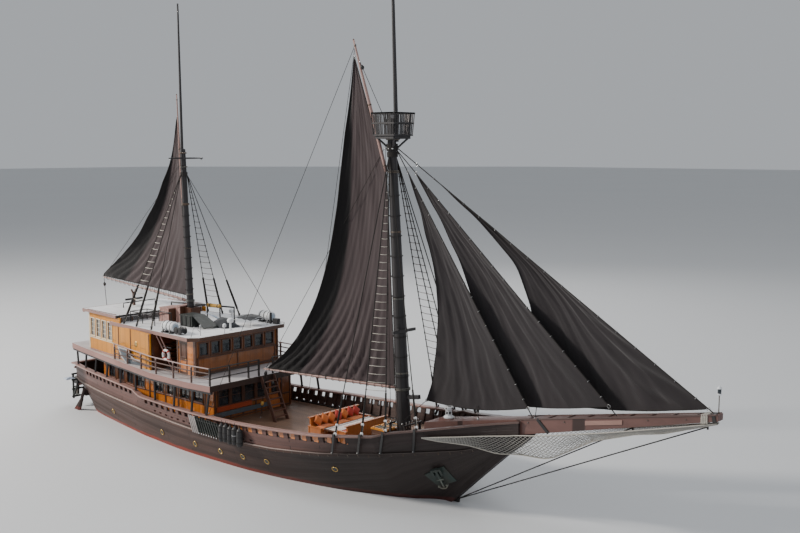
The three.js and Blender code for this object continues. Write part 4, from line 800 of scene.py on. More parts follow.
def buildBulwarks():
    b = bulwarkForm
    under = lambda s: s["railZ"] - b["capThick"]
    portTop = lambda s: under(s) - b["drop"]
    portFoot = lambda s: portTop(s) - b["portHigh"]
    foot = lambda s: s["deckZ"] - 0.03
    lows, highs = (lambda s: s["deckZ"] + b["scupperLow"]), (lambda s: s["deckZ"] + b["scupperHigh"])
    inside = lambda s, z: railSide(s, z) - b["thick"]
    walls = Shape("bulwark", "inner", "varnish", "black")
    caps = Shape("cap", "waleTop")
    for side in (-1, 1):
        faces = (0, 0, 1, 1)
        for low, high in ((foot, lows), (highs, portFoot), (portTop, under)):
            sideBand(walls, sternX, stemX, low, high, railSide, inside, side, faces)
        for low, high, key in ((lows, highs, "scuppers"), (portFoot, portTop, "ports")):
            start = sternX
            for a, c in openingsOf(b[key]) + [(stemX, stemX)]:
                sideBand(walls, start, a, low, high, railSide, inside, side, faces)
                start = c
        for a, c in openingsOf(b["ports"]):
            s = stationAt((a + c) / 2)
            y = side * (railSide(s, portFoot(s)) - b["thick"] / 2)
            walls.box((a, y - 0.055, portFoot(s) - 0.004), (c, y + 0.055, portFoot(s) + 0.015), 3)
            if side < 0 and a > 3.6:  # varnished boards behind the forward part of each starboard port
                walls.box((a + 0.17, y + 0.02, portFoot(s) - 0.02),
                          (c + 0.12, y + 0.05, portTop(s) + 0.01), 2)
                walls.box((a + 0.17, y - 0.05, portFoot(s)), (c, y + 0.02, portTop(s)), 2)
        first, step, count = b["stanchions"]
        for k in range(count):
            x = first + k * step
            s = stationAt(x)
            if x < b["stanchionsEnd"]:
                walls.bar((x, side * (inside(s, s["deckZ"]) - 0.05), s["deckZ"]),
                          (x, side * (inside(s, under(s)) - 0.04), under(s)), 0.08, 0.09, 1)
        reach = lambda s: 0.02 if s["x"] > 17 else (b["capWide"] - b["thick"]) / 2
        outerCap = lambda s, z: s["railY"] + reach(s)
        innerCap = lambda s, z: s["railY"] - b["thick"] - reach(s)
        sideBand(caps, sternX - 0.05, stemX + 0.05, under, lambda s: s["railZ"] - 0.002,
                 outerCap, innerCap, side, (0, 0, 0, 0))
    walls.box((-14.04, -1.98, 1.9), (-13.94, 1.98, 2.88), 0)
    caps.box((-14.2, -2.25, 2.83), (-13.9, 2.25, 2.93), 0)
    wallPiece = walls.make("bulwarkWalls")
    bandUv(wallPiece)
    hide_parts("bulwark_starboard", "bulwark_port")
    caps.make("bulwarkCaps", bevel=0.008)
    # wale, rubbing strakes and the covering board inside
    w = hullForm
    waleTop = lambda s: s["waleZ"]
    waleFoot = lambda s: s["waleZ"] - min(w["waleHigh"], 0.2 * (s["deckZ"] - s["waterZ"]))
    wales = Shape("wale", "waleTop", "inner", "hull")
    for side in (-1, 1):
        sideBand(wales, -13.95, 17.8, waleFoot, waleTop, lambda s, z: sideAt(s, z) + w["waleProud"],
                 lambda s, z: sideAt(s, z) - 0.06, side, (0, 0, 0, 0))
        sideBand(wales, -13.95, 17.6, waleTop, lambda s: waleTop(s) + 0.035,
                 lambda s, z: sideAt(s, z) + w["waleProud"] + 0.012, lambda s, z: sideAt(s, z) - 0.05,
                 side, (1, 1, 1, 1))
        sideBand(wales, -13.9, 13.5, lambda s: s["deckZ"] - 0.02, lambda s: s["deckZ"] + 0.1,
                 lambda s, z: s["deckY"] - 0.1, lambda s, z: s["deckY"] - 0.3, side, (2, 2, 2, 2))
    wales.make("wales", bevel=0.006)


# lengthwise planks on the bulwarks: u along the ship, v up the side, one unit a plank
def bandUv(piece):
    def uvAt(index):
        co = piece.data.vertices[index].co / half
        s = stationAt(co.x)
        return co.x, 5 * (co.z - s["deckZ"]) / (s["railZ"] - s["deckZ"])
    layUv(piece.data, uvAt)


buildBulwarks()
print("hull and bulwarks built")


# brass port rims with their panes, and the chainplates of the shrouds
sideFittings = {
    "ports": [(6.1, 0.87), (10.36, 1.24), (-8.73, 0.77), (0.37, 0.68), (2.55, 0.72),
              (4.35, 0.79), (-2.85, 0.7)],
    "portRadius": 0.13, "ringWide": 0.036,
    "chains": [11.05, 12.4, 13.45, 14.75], "chainLean": 0.32,
    "rack": {"panel": (0.65, 1.2), "slats": (1.3, 3.25, 10), "rolls": (3.5, 4.95, 5),
             "low": 1.52, "top": 2.42},
}


def sideNormal(s, z, side):
    ahead, behind = stationAt(s["x"] + 0.3), stationAt(s["x"] - 0.3)
    along = Vector((0.6, side * (sideAt(ahead, z) - sideAt(behind, z)), 0))
    up = Vector((0, side * (sideAt(s, z + 0.2) - sideAt(s, z - 0.2)), 0.4))
    normal = along.cross(up)
    return normal.normalized() * (1 if normal.y * side > 0 else -1)


def buildSideFittings():
    f = sideFittings
    shape = Shape("brass", "glass", "black", "bulwark", "steel")
    for side in (-1, 1):
        for x, z in f["ports"]:
            s = stationAt(x)
            normal = sideNormal(s, z, side)
            foot = Vector((x, side * sideAt(s, z), z)) - normal * 0.03
            r, w = f["portRadius"], f["ringWide"]
            u = normal.orthogonal().normalized()
            v = normal.cross(u)
            rim = circle(foot, u, v, r + w * 0.4, 28)
            shape.tube([p + normal * 0.045 for p in rim], w * 0.75, 8, 0, True)
            shape.turned(foot, normal, [(r, 0), (r, 0.04), (r * 0.7, 0.05), (r * 0.3, 0.053)], 24, 1)
            for k in range(0, 28, 4):
                shape.turned(rim[k], normal, [(0.009, 0.06), (0.009, 0.078), (0.004, 0.082)], 6, 0)
        for x in f["chains"]:  # chainplates run down from the shrouds outside the planking
            s, low = stationAt(x), stationAt(x - f["chainLean"])
            top, foot = s["railZ"] + 0.1, low["waleZ"] + 0.05
            points = [(x, side * (s["railY"] + 0.19), top),
                      (x, side * (s["railY"] + 0.19), s["railZ"] - 0.15),
                      (low["x"], side * (sideAt(low, foot) + 0.09), foot)]
            for a, b in zip(points, points[1:]):
                shape.bar(a, b, 0.13, 0.04, 2, (0, 1, 0))
            shape.turned((low["x"], side * (sideAt(low, foot) + 0.1), foot + 0.04), (0, side, 0),
                         [(0.03, 0), (0.03, 0.04), (0.012, 0.05)], 8, 4)
    shape.make("sideFittings", bevel=0.002)


# boarding rack on the starboard side: a pale ribbed board, tarred slats and black fenders
def buildRack():
    r = sideFittings["rack"]
    shape = Shape("paleBoard", "tarred", "black", "white", "rope", "steel")

    def outer(x, z, out=0.0):
        s = stationAt(x)
        return -(max(railSide(s, z), sideAt(s, z)) + 0.06 + out)

    a, b = r["panel"]
    low, top = r["low"], r["top"]
    shape.prism([(a, outer(a, low), low), (b, outer(b, low), low), (b, outer(b, top), top),
                 (a, outer(a, top), top)],
                (0, -0.04, 0), 0)
    for k in range(4):
        x = lerp(a + 0.03, b - 0.03, k / 3)
        shape.bar((x, outer(x, low, 0.06), low - 0.05), (x, outer(x, top, 0.06), top + 0.04), 0.07,
                  0.04, 0, (0, 1, 0))
    a, b, count = r["slats"]
    shape.prism([(a - 0.06, outer(a, low), low + 0.05), (b + 0.06, outer(b, low), low + 0.05),
                 (b + 0.06, outer(b, top), top + 0.02), (a - 0.06, outer(a, top), top + 0.02)],
                (0, -0.03, 0), 1)
    for k in range(count):
        x = lerp(a, b, k / (count - 1))
        shape.bar((x, outer(x, low, 0.08), low), (x, outer(x, top, 0.08), top + 0.04), 0.075,
                  0.06, 1, (0, 1, 0))
        shape.turned((x, outer(x, low, 0.1), low + 0.02), (0, -1, 0),
                     [(0.035, 0), (0.035, 0.03), (0.01, 0.04)], 8, 3)
    for z in (low + 0.2, top - 0.1):
        shape.bar((a - 0.05, outer(a, z, 0.04), z), (b + 0.05, outer(b, z, 0.04), z), 0.05,
                  0.08, 1, (0, 1, 0))
    a, b, count = r["rolls"]
    for k in range(count):
        x = lerp(a, b, k / (count - 1))
        z = low + 0.04 + 0.03 * (k % 2)
        profile = [(0.03, 0), (0.12, 0.02), (0.165, 0.12), (0.175, 0.4), (0.165, 0.76), (0.12, 0.88),
                   (0.05, 0.92), (0.03, 0.98)]
        shape.turned((x, outer(x, 2.0, 0.13), z), (0, 0, 1), profile, 18, 2)
        shape.tube([(x, outer(x, 2.0, 0.13), z + 0.96), (x, outer(x, 2.3, 0.02), z + 1.12)], 0.016, 6, 4)
        for up in (0.2, 0.5, 0.8):
            shape.turned((x, outer(x, 2.0, 0.13), z + up), toZ,
                         [(0.165, -0.02), (0.19, -0.012), (0.19, 0.012), (0.165, 0.02)],
                         18, 5 if (k, up) == (3, 0.5) else 4)
    shape.make("boardingRack", bevel=0.004)


buildSideFittings()
buildRack()

# lower masts: two points of the axis in x and z, the cap's and the shroud collar's heights, and two radii
mainMast = {"base": (12.1, 2.46), "head": (11.31, 16.34), "cap": 17.84, "collar": 16.12,
            "baseRadius": 0.35, "headRadius": 0.21}
mizzenMast = {"base": (-4.42, 1.86), "head": (-5.04, 15.9), "cap": 16.4, "collar": 14.92,
              "baseRadius": 0.24, "headRadius": 0.16}


def mastAt(mast, z):
    (x0, z0), (x1, z1) = mast["base"], mast["head"]
    return Vector((lerp(x0, x1, (z - z0) / (z1 - z0)), 0, z))


def mastRadius(mast, z):
    share = (z - mast["base"][1]) / (mast["head"][1] - mast["base"][1])
    return lerp(mast["baseRadius"], mast["headRadius"], share)


# feet of the shrouds at the rail and on the roof, starboard and port alike
mainFeet = [(11.05, 3.72, 3.09), (12.4, 3.34, 3.27), (13.45, 2.86, 3.52), (14.75, 2.18, 3.76)]
mizzenFeet = [(-4.05, 3.2, 6.32), (-5.6, 3.12, 6.32), (-6.95, 3.06, 6.32)]
shroudForm = {"spread": 0.22, "lift": 0.12, "gap": 0.42, "rungStep": 0.36, "rungRadius": 0.016, "sag": 0.018}


# deadeyes and lanyards where the shrouds meet the chainplates and the roof
def buildShrouds():
    shape = Shape("rope", "black", "paleRope", "dark", "white")
    f = shroudForm
    for mast, feet in ((mainMast, mainFeet), (mizzenMast, mizzenFeet)):
        head = mastAt(mast, mast["collar"])
        for side in (-1, 1):
            for x, y, z in feet:
                foot, top = Vector((x, side * y, z)), head + toY * side * f["spread"]
                along = (top - foot).normalized()
                for up in (f["lift"], f["lift"] + f["gap"]):
                    at = foot + along * up
                    shape.turned(at - Vector((0, side * 0.035, 0)), (0, side, 0),
                                 [(0.03, 0), (0.085, 0.015), (0.09, 0.035), (0.085, 0.055), (0.03, 0.07)], 14,
                                 4 if mast is mainMast else 1)
                across = along.cross(toY).normalized()
                for k in (-1, 0, 1):
                    shape.tube([foot + along * up + across * 0.045 * k for up in (f["lift"],
                                                                                  f["lift"] + f["gap"])],
                               0.012, 5, 2)
                shape.tube([foot - along * 0.02, foot + along * 0.1], 0.03, 6, 1)
                thick, reach = (0.05, 1.7) if mast is mainMast else (0.07, 2.4)  # served ends
                shape.tube([foot + along * 0.6, foot + along * reach], [thick, thick * 0.8], 8, 0)
    # ratlines climb the two after shrouds of each mast
    ladders = ((mainMast, mainFeet[1], mainFeet[2], 5.0, 15.2, (-1, 1)),
               (mizzenMast, mizzenFeet[1], mizzenFeet[2], 7.4, 14.2, (-1, 1)),
               (mainMast, mainFeet[0], mainFeet[1], 5.0, 15.2, (1,)))
    for mast, a, b, low, high, sides in ladders:
        for side in sides:
            top = mastAt(mast, mast["collar"]) + toY * side * f["spread"]
            pa, pb = Vector((a[0], side * a[1], a[2])), Vector((b[0], side * b[1], b[2]))
            z = low
            while z < high:
                p = pa.lerp(top, (z - pa.z) / (top.z - pa.z))
                q = pb.lerp(top, (z - pb.z) / (top.z - pb.z))
                shape.tube([p, p.lerp(q, 0.5) - toZ * f["sag"], q], f["rungRadius"], 5, 2 if side < 0 else 3)
                for end in (p, q):
                    shape.tube([end - toZ * 0.025, end + toZ * 0.025], 0.036, 6, 0)
                z += f["rungStep"]
    shape.make("shroudFittings")


buildShrouds()
print("shroud fittings built")


# node trees for what repeats: items along a path, and cords on the edges of a surface
def nodeTree(name, inputs):
    tree = bpy.data.node_groups.new(name, "GeometryNodeTree")
    tree.interface.new_socket("Geometry", in_out="INPUT", socket_type="NodeSocketGeometry")
    for label, kind in inputs:
        tree.interface.new_socket(label, in_out="INPUT", socket_type=kind)
    tree.interface.new_socket("Geometry", in_out="OUTPUT", socket_type="NodeSocketGeometry")
    return tree, tree.nodes.new("NodeGroupInput"), tree.nodes.new("NodeGroupOutput")


def buildAlongPath():
    tree, inn, out = nodeTree("alongPath", [("Step", "NodeSocketFloat"), ("Item", "NodeSocketObject"),
                                            ("Finish", "NodeSocketMaterial")])
    resample = node(tree, "GeometryNodeResampleCurve", mode="LENGTH")
    info, tangent = tree.nodes.new("GeometryNodeObjectInfo"), tree.nodes.new("GeometryNodeInputTangent")
    align = node(tree, "FunctionNodeAlignRotationToVector", axis="Z")
    instance = tree.nodes.new("GeometryNodeInstanceOnPoints")
    realize = tree.nodes.new("GeometryNodeRealizeInstances")
    finish = tree.nodes.new("GeometryNodeSetMaterial")
    links = tree.links.new
    links(inn.outputs["Geometry"], resample.inputs["Curve"])
    links(inn.outputs["Step"], resample.inputs["Length"])
    links(inn.outputs["Item"], info.inputs["Object"])
    links(tangent.outputs[0], align.inputs["Vector"])
    links(resample.outputs["Curve"], instance.inputs["Points"])
    links(info.outputs["Geometry"], instance.inputs["Instance"])
    links(align.outputs["Rotation"], instance.inputs["Rotation"])
    links(instance.outputs[0], realize.inputs[0])
    links(realize.outputs[0], finish.inputs["Geometry"])
    links(inn.outputs["Finish"], finish.inputs["Material"])
    links(finish.outputs[0], out.inputs[0])
    return tree


def buildCordsOnEdges():
    tree, inn, out = nodeTree("cordsOnEdges", [("Radius", "NodeSocketFloat"),
                                               ("Finish", "NodeSocketMaterial")])
    curves = tree.nodes.new("GeometryNodeMeshToCurve")
    profile = node(tree, "GeometryNodeCurvePrimitiveCircle", Resolution=4)
    sweep = tree.nodes.new("GeometryNodeCurveToMesh")
    realize = tree.nodes.new("GeometryNodeRealizeInstances")
    finish = tree.nodes.new("GeometryNodeSetMaterial")
    links = tree.links.new
    links(inn.outputs["Geometry"], curves.inputs["Mesh"])
    links(inn.outputs["Radius"], profile.inputs["Radius"])
    links(curves.outputs[0], sweep.inputs["Curve"])
    links(profile.outputs["Curve"], sweep.inputs["Profile Curve"])
    sweep.inputs["Fill Caps"].default_value = True
    links(sweep.outputs[0], realize.inputs[0])
    links(realize.outputs[0], finish.inputs["Geometry"])
    links(inn.outputs["Finish"], finish.inputs["Material"])
    links(finish.outputs[0], out.inputs[0])
    return tree


alongPath, cordsOnEdges = buildAlongPath(), buildCordsOnEdges()


def runTree(source, tree, name, slot, smooth, **values):
    modifier = source.modifiers.new("grow", "NODES")
    modifier.node_group = tree
    sockets = {item.name: item.identifier for item in tree.interface.items_tree if item.in_out == "INPUT"}
    for label, value in values.items():
        modifier[sockets[label]] = value
    bpy.context.view_layer.update()
    result = bpy.data.meshes.new_from_object(source.evaluated_get(bpy.context.evaluated_depsgraph_get()))
    result.name = name
    result.polygons.foreach_set("use_smooth", [smooth] * len(result.polygons))
    bpy.data.objects.remove(source)
    piece = linked(name, result)
    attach(piece, "hull")
    return piece


def pathsOf(paths):
    curve = bpy.data.curves.new("paths", "CURVE")
    curve.dimensions = "3D"
    for points in paths:
        spline = curve.splines.new("POLY")
        spline.points.add(len(points) - 1)
        for target, p in zip(spline.points, points):
            target.co = (*(Vector(p) * half), 1)
    return linked("paths", curve)


def repeatAlong(name, paths, step, item, look):
    mesh = bpy.data.meshes.new("item")
    mesh.from_pydata([p * half for p in item.points], [], item.faces)
    thing = linked("item", mesh)
    runTree(pathsOf(paths), alongPath, name, "iron", False, Step=step * half, Item=thing, Finish=mats[look])
    bpy.data.objects.remove(thing)


def edgeCords(name, points, edges, radius, look):
    mesh = bpy.data.meshes.new(name)
    mesh.from_pydata([p * half for p in points], edges, [])
    return runTree(linked("edges", mesh), cordsOnEdges, name, "net", True, Radius=radius * half,
                   Finish=mats[look])


# bolt heads along the wale, in two rows
def buildFastenings():
    runs = []
    for side in (-1, 1):
        for level in (0.28, 0.72):
            run = []
            for k in range(110):
                s = stationAt(-13.6 + k * 0.28)
                z = s["waleZ"] - min(0.16, 0.2 * (s["deckZ"] - s["waterZ"])) * (1 - level)
                run.append((s["x"], side * (sideAt(s, z) + 0.062), z))
            runs.append(run)
    ball = Shape("iron")
    ball.turned((0, 0, -0.022), toZ, [(0.008, 0), (0.02, 0.008), (0.022, 0.022), (0.02, 0.036),
                                      (0.008, 0.044)], 6)
    repeatAlong("waleBolts", runs, 0.55, ball, "iron")


buildFastenings()

# booms and gaffs: height and offset of the jaws, the tip in x and z, and the radius
sparRows = {
    "mainBoom": {"node": "main_boom", "heelZ": 4.86, "heelOut": 0.34, "tip": (2.7, 4.66), "radius": 0.062},
    "mainGaff": {"node": "main_gaff", "heelZ": 15.3, "heelOut": 0.42, "tip": (8.95, 21.62), "radius": 0.07},
    "mizzenBoom": {"node": "mizzen_boom", "heelZ": 7.55, "heelOut": 0.3, "tip": (-13.75, 8.22),
                   "radius": 0.06},
    "mizzenGaff": {"node": "mizzen_gaff", "heelZ": 13.2, "heelOut": 0.27, "tip": (-5.52, 19.5),
                   "radius": 0.05},
}
mainTurn, mizzenTurn = 4.9, 0.0  # degrees that the rigs stand swung at rest


def swinger(mast, degrees):
    foot = mastAt(mast, 8)
    axis = Vector((mast["head"][0] - mast["base"][0], 0, mast["head"][1] - mast["base"][1])).normalized()
    turn = Matrix.Rotation(math.radians(degrees), 4, axis)
    return Matrix.Translation(foot) @ turn @ Matrix.Translation(-foot)


mainSwing, mizzenSwing = swinger(mainMast, mainTurn), swinger(mizzenMast, mizzenTurn)


# which mast, turn and body a working sail or spar belongs to
def rigOf(name):
    main = name.startswith("main")
    return (mainMast, mainSwing, "main_rig") if main else (mizzenMast, mizzenSwing, "mizzen_rig")


# topmasts: heights and radii of foot and top, place beside the lower mast, lean, and the heights of two hoops
topmasts = {
    "main": {"foot": 16.72, "top": 27.4, "radii": (0.11, 0.06), "beside": (0.36, -0.08), "lean": 0.032,
             "hoops": (16.78, 17.5)},
    "mizzen": {"foot": 15.2, "top": 24.6, "radii": (0.09, 0.05), "beside": (0.2, -0.22), "lean": 0.012,
               "hoops": (15.3, 16.1)},
}


# lower masts and topmasts, round and smooth, with iron bands
def buildMasts():
    for name, mast, heel in (("main", mainMast, 2.3), ("mizzen", mizzenMast, 1.86)):
        shape = Shape("spar", "iron", "steel")
        cap = mast["cap"]
        heights = [heel + (cap - 0.06 - heel) * k / 24 for k in range(25)]
        shape.tube([mastAt(mast, z) for z in heights], [mastRadius(mast, z) for z in heights], 28)
        shape.turned(mastAt(mast, cap - 0.06), toZ,
                     [(mastRadius(mast, cap), 0), (mastRadius(mast, cap) * 0.8, 0.06)], 24)
        for z in (5.6, 9.2, 12.4) if name == "main" else (7.9, 10.6):
            r = mastRadius(mast, z)
            shape.turned(mastAt(mast, z), mastAt(mast, 1 + z) - mastAt(mast, z),
                         [(r, 0), (r + 0.014, 0.005), (r + 0.014, 0.075), (r, 0.08)], 28, 1)
        if name == "main":  # fife rails with pins, and dark brackets and a crosspiece on the mast
            base = mast["base"][0]
            for x, foot, wide in ((base - 0.43, 2.4, 0.08), (base + 0.5, 2.45, 0.1)):
                for y in (-0.55, 0.55):
                    shape.bar((x, y, foot), (x, y, 3.25), wide, 0.1, 0)
                shape.bar((x, -0.66, 3.22), (x, 0.66, 3.22), 0.08, 0.08, 0)
                for k in range(5):
                    shape.turned((x, -0.44 + 0.22 * k, 3.08), toZ,
                                 [(0.012, 0), (0.016, 0.14), (0.026, 0.2), (0.02, 0.32)], 8, 2)
            shape.bar((base + 0.2, 0, 4.5), (base + 0.95, 0, 4.62), 0.16, 0.2, 0)
            shape.bar((12.1, -0.85, 7.72), (12.1, 0.75, 7.72), 0.12, 0.14, 0)
            shape.bar((11.95, -0.4, 7.82), (12.2, -0.5, 7.82), 0.1, 0.1, 0)
        piece = shape.make(name + "MastPole", bevel=0.004)
        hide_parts(name + "_mast")
    for name, row in topmasts.items():
        mast, foot, (radius, tip), (ahead, aside) = rigOf(name)[0], row["foot"], row["radii"], row["beside"]
        shape = Shape("spar", "iron", "steel", "white")
        x = mastAt(mast, foot).x + ahead
        at = lambda z: Vector((x - row["lean"] * (z - foot), aside, z))
        levels = [lerp(foot, row["top"], k / 16) for k in range(17)]
        shape.tube([at(z) for z in levels], [lerp(radius, tip, k / 16) for k in range(17)], 18)
        for z in row["hoops"]:
            lift = toZ * 0.06
            shape.tube(circle(mastAt(mast, z) + lift, toX, toY, mastRadius(mast, z) + 0.05, 28),
                       0.035, 8, 1, True)
            shape.tube(circle(at(z) + lift, toX, toY, radius + 0.03, 20), 0.032, 8, 1, True)
        if name == "mizzen":
            shape.tube([(x + 0.05, y, 15.86) for y in (-1.2, -0.6, 0, 0.6, 1.2)],
                       [0.035, 0.045, 0.05, 0.045, 0.035], 12)
            for y in (-1.1, 1.1):
                shape.turned((x + 0.05, y, 15.74), toZ,
                             [(0.02, 0), (0.05, 0.03), (0.05, 0.09), (0.02, 0.1)], 10, 2)
        piece = shape.make(name + "Topmast")
        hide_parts(name + "_topmast")


buildMasts()


# close slats, a heavier foot and knees for the crow's nest, square with sides that flare upwards
nestForm = {"floor": 17.03, "rail": 18.07, "floorHalf": 0.655, "railHalf": 0.725, "footHalf": 0.58,
            "slats": 13, "ahead": 0.08}


def buildNest():
    f = nestForm
    cx = mastAt(mainMast, 17).x + f["ahead"]
    shape = Shape("spar", "paleBoard", "iron")
    for turn in range(4):
        c, s = (1, 0, -1, 0)[turn], (0, 1, 0, -1)[turn]
        place = lambda out, along, z: (cx + c * out - s * along, s * out + c * along, z)
        look = 1 if turn == 1 else 0  # the port face is weathered pale
        for k in range(f["slats"] + 1):
            t = -1 + 2 * k / f["slats"]
            if abs(t) < 0.24 and turn == 2:  # a gap to climb in
                continue
            a, b = f["floorHalf"], f["railHalf"]
            shape.bar(place(a, a * t, f["floor"]), place(b, b * t, f["rail"]), 0.055, 0.02, look, (c, s, 0))
        reach = f["footHalf"]
        for r, z, thick in ((reach, f["floor"] - 0.09, 0.16), (f["railHalf"], f["rail"], 0.07)):
            shape.bar(place(r, -r, z), place(r, r, z), 0.05, thick, look)
        shape.bar(place(reach * 0.9, reach * 0.9, f["floor"] - 0.12), place(0.14, 0.14, 16.42), 0.06,
                  0.09, 0, (-s, c, 0))
        for along in (-0.3, 0.3):
            shape.bar(place(-reach, along, f["floor"] - 0.06),
                      place(reach, along, f["floor"] - 0.06), 0.06, 0.08, 0)
    shape.make("nestSlats", bevel=0.002)


buildNest()


def sparEnds(name):
    row = sparRows[name]
    heel = mastAt(rigOf(name)[0], row["heelZ"])
    return Vector((heel.x - row["heelOut"], 0, row["heelZ"])), Vector((row["tip"][0], 0, row["tip"][1]))


def buildSpars():
    for name, row in sparRows.items():
        mast, turn, body = rigOf(name)
        shape = Shape("lightSpar", "iron", "paleRope", "dark")
        heel = mastAt(mast, row["heelZ"])
        start, end = sparEnds(name)
        r = row["radius"]
        thick = lambda t: r * (0.95 + 0.35 * math.sin(math.pi * min(1, t + 0.15)) - 0.25 * t)
        shape.tube([start.lerp(end, k / 14) for k in range(15)], [thick(k / 14) for k in range(15)], 18)
        ring = mastRadius(mast, row["heelZ"]) + 0.04
        along = (mastAt(mast, 9) - mastAt(mast, 8)).normalized()
        v = along.cross(toX).normalized()
        for lift in (-0.035, 0.035):
            shape.tube(circle(heel + along * lift, v.cross(along), v, ring, 32), 0.03, 8, 1, True)
        shape.bar(start + Vector((0.12, 0, 0)), (heel.x - ring + 0.02, 0, row["heelZ"]), 0.08, 0.1, 1)
        for t in (0.04, 0.5, 0.95):
            wide = thick(t)
            shape.turned(start.lerp(end, t), end - start,
                         [(wide, 0), (wide + 0.012, 0.005), (wide + 0.012, 0.06), (wide, 0.065)], 18, 1)
        shape.turned(end, end - start, [(r * 0.7, -0.02), (r * 0.62, 0.03), (r * 0.3, 0.06)], 14, 3)
        shape.points = [turn @ p for p in shape.points]
        piece = shape.make(name + "Spar", body)
        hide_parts(row["node"])


buildSpars()
print("masts and spars built")

# feet of the jib stays on the bowsprit in x, and their heads' height on the mast
stayFeet = {"inner": (19.53, 16.54), "middle": (23.65, 16.46), "outer": (27.85, 16.54)}


def bowspritZ(x):
    return 6.38 - 0.19 * (28.1 - x)


def stayLine(name):
    x, z = stayFeet[name]
    return Vector((x, 0, bowspritZ(x) + 0.01)), Vector((11.45, 0, z))


def onStay(name, t):
    foot, head = stayLine(name)
    return foot.lerp(head, t)


# sails: luff and leech as point rows from the foot up, in x and z
sails = {
    "mainsail": {"hoopsEnd": 15.0, "luff": [(11.5, 4.92), (11.25, 10.0), (10.98, 15.1), (9.0, 20.8)],
                 "fold": 0.1, "folds": 12, "belly": 0.22,
                 "leech": [(3.0, 4.74), (4.6, 5.9), (6.0, 7.6), (7.2, 10.0), (7.95, 13.0), (8.35, 16.0),
                           (8.75, 19.0), (8.98, 20.8)]},
    "mizzen_sail": {"hoopsEnd": 12.9, "luff": [(-4.98, 7.85), (-5.08, 10.5), (-5.25, 13.4), (-5.42, 16.5),
                                               (-5.52, 18.2)], "fold": 0.09, "folds": 11,
                    "belly": 0.22, "leech": [(-13.65, 8.3), (-12.98, 8.74), (-11.82, 9.4), (-10.69, 10.14),
                              (-9.57, 10.98), (-8.48, 12.13),
                              (-7.39, 13.5), (-6.32, 15.41), (-5.83, 16.93), (-5.55, 18.2)]},
    "inner_jib": {"stay": "inner", "low": 0.03, "high": 0.894, "fold": 0.03, "folds": 5, "belly": 0.2,
                  "leech": [(12.85, 4.3), (13.34, 5.39), (13.68, 6.91), (13.88, 8.39),
                            (13.91, 9.83), (13.77, 10.76),
                            (13.56, 11.69), (13.34, 12.39), (13.07, 13.31), (12.73, 14.24)]},
    "middle_jib": {"stay": "middle", "low": 0.03, "high": 0.889, "fold": 0.032, "folds": 6, "belly": 0.24,
                   "leech": [(15.81, 4.85), (16.18, 6.74), (16.16, 7.92), (16.06, 8.85),
                             (15.88, 9.62), (15.64, 10.44),
                             (15.28, 11.24), (14.73, 12.23), (14.19, 13.22), (13.61, 14.03)]},
    "outer_jib": {"stay": "outer", "low": 0.015, "high": 0.915, "fold": 0.04, "folds": 6, "belly": 0.26,
                  "leech": [(19.01, 5.23), (19.32, 6.45), (19.3, 7.83), (19.12, 9.26),
                            (19.01, 9.83), (18.76, 10.61),
                            (18.39, 11.38), (17.61, 12.17), (16.54, 13.14), (15.41, 13.95), (14.26, 14.79)]},
}
sailGrid = {"across": 56, "up": 84, "jibSlant": 0.11, "footArc": 0.25, "crease": 0.05,
            "gather": 0.022, "curl": 0.34, "boltRope": 0.022, "cringle": 0.07, "hank": 0.05, "lacing": 0.1}


# a smooth sheet on a grid of points, with its flat layout as the UV map
def clothMesh(name, points, across, up, uvs, look):
    mesh = bpy.data.meshes.new(name)
    starts = [j * (across + 1) + i for j in range(up) for i in range(across)]
    mesh.from_pydata(points, [], [(k, k + 1, k + across + 2, k + across + 1) for k in starts])
    mesh.polygons.foreach_set("use_smooth", [True] * len(starts))
    layUv(mesh, lambda index: uvs[index])
    mesh.materials.append(mats[look])
    return mesh


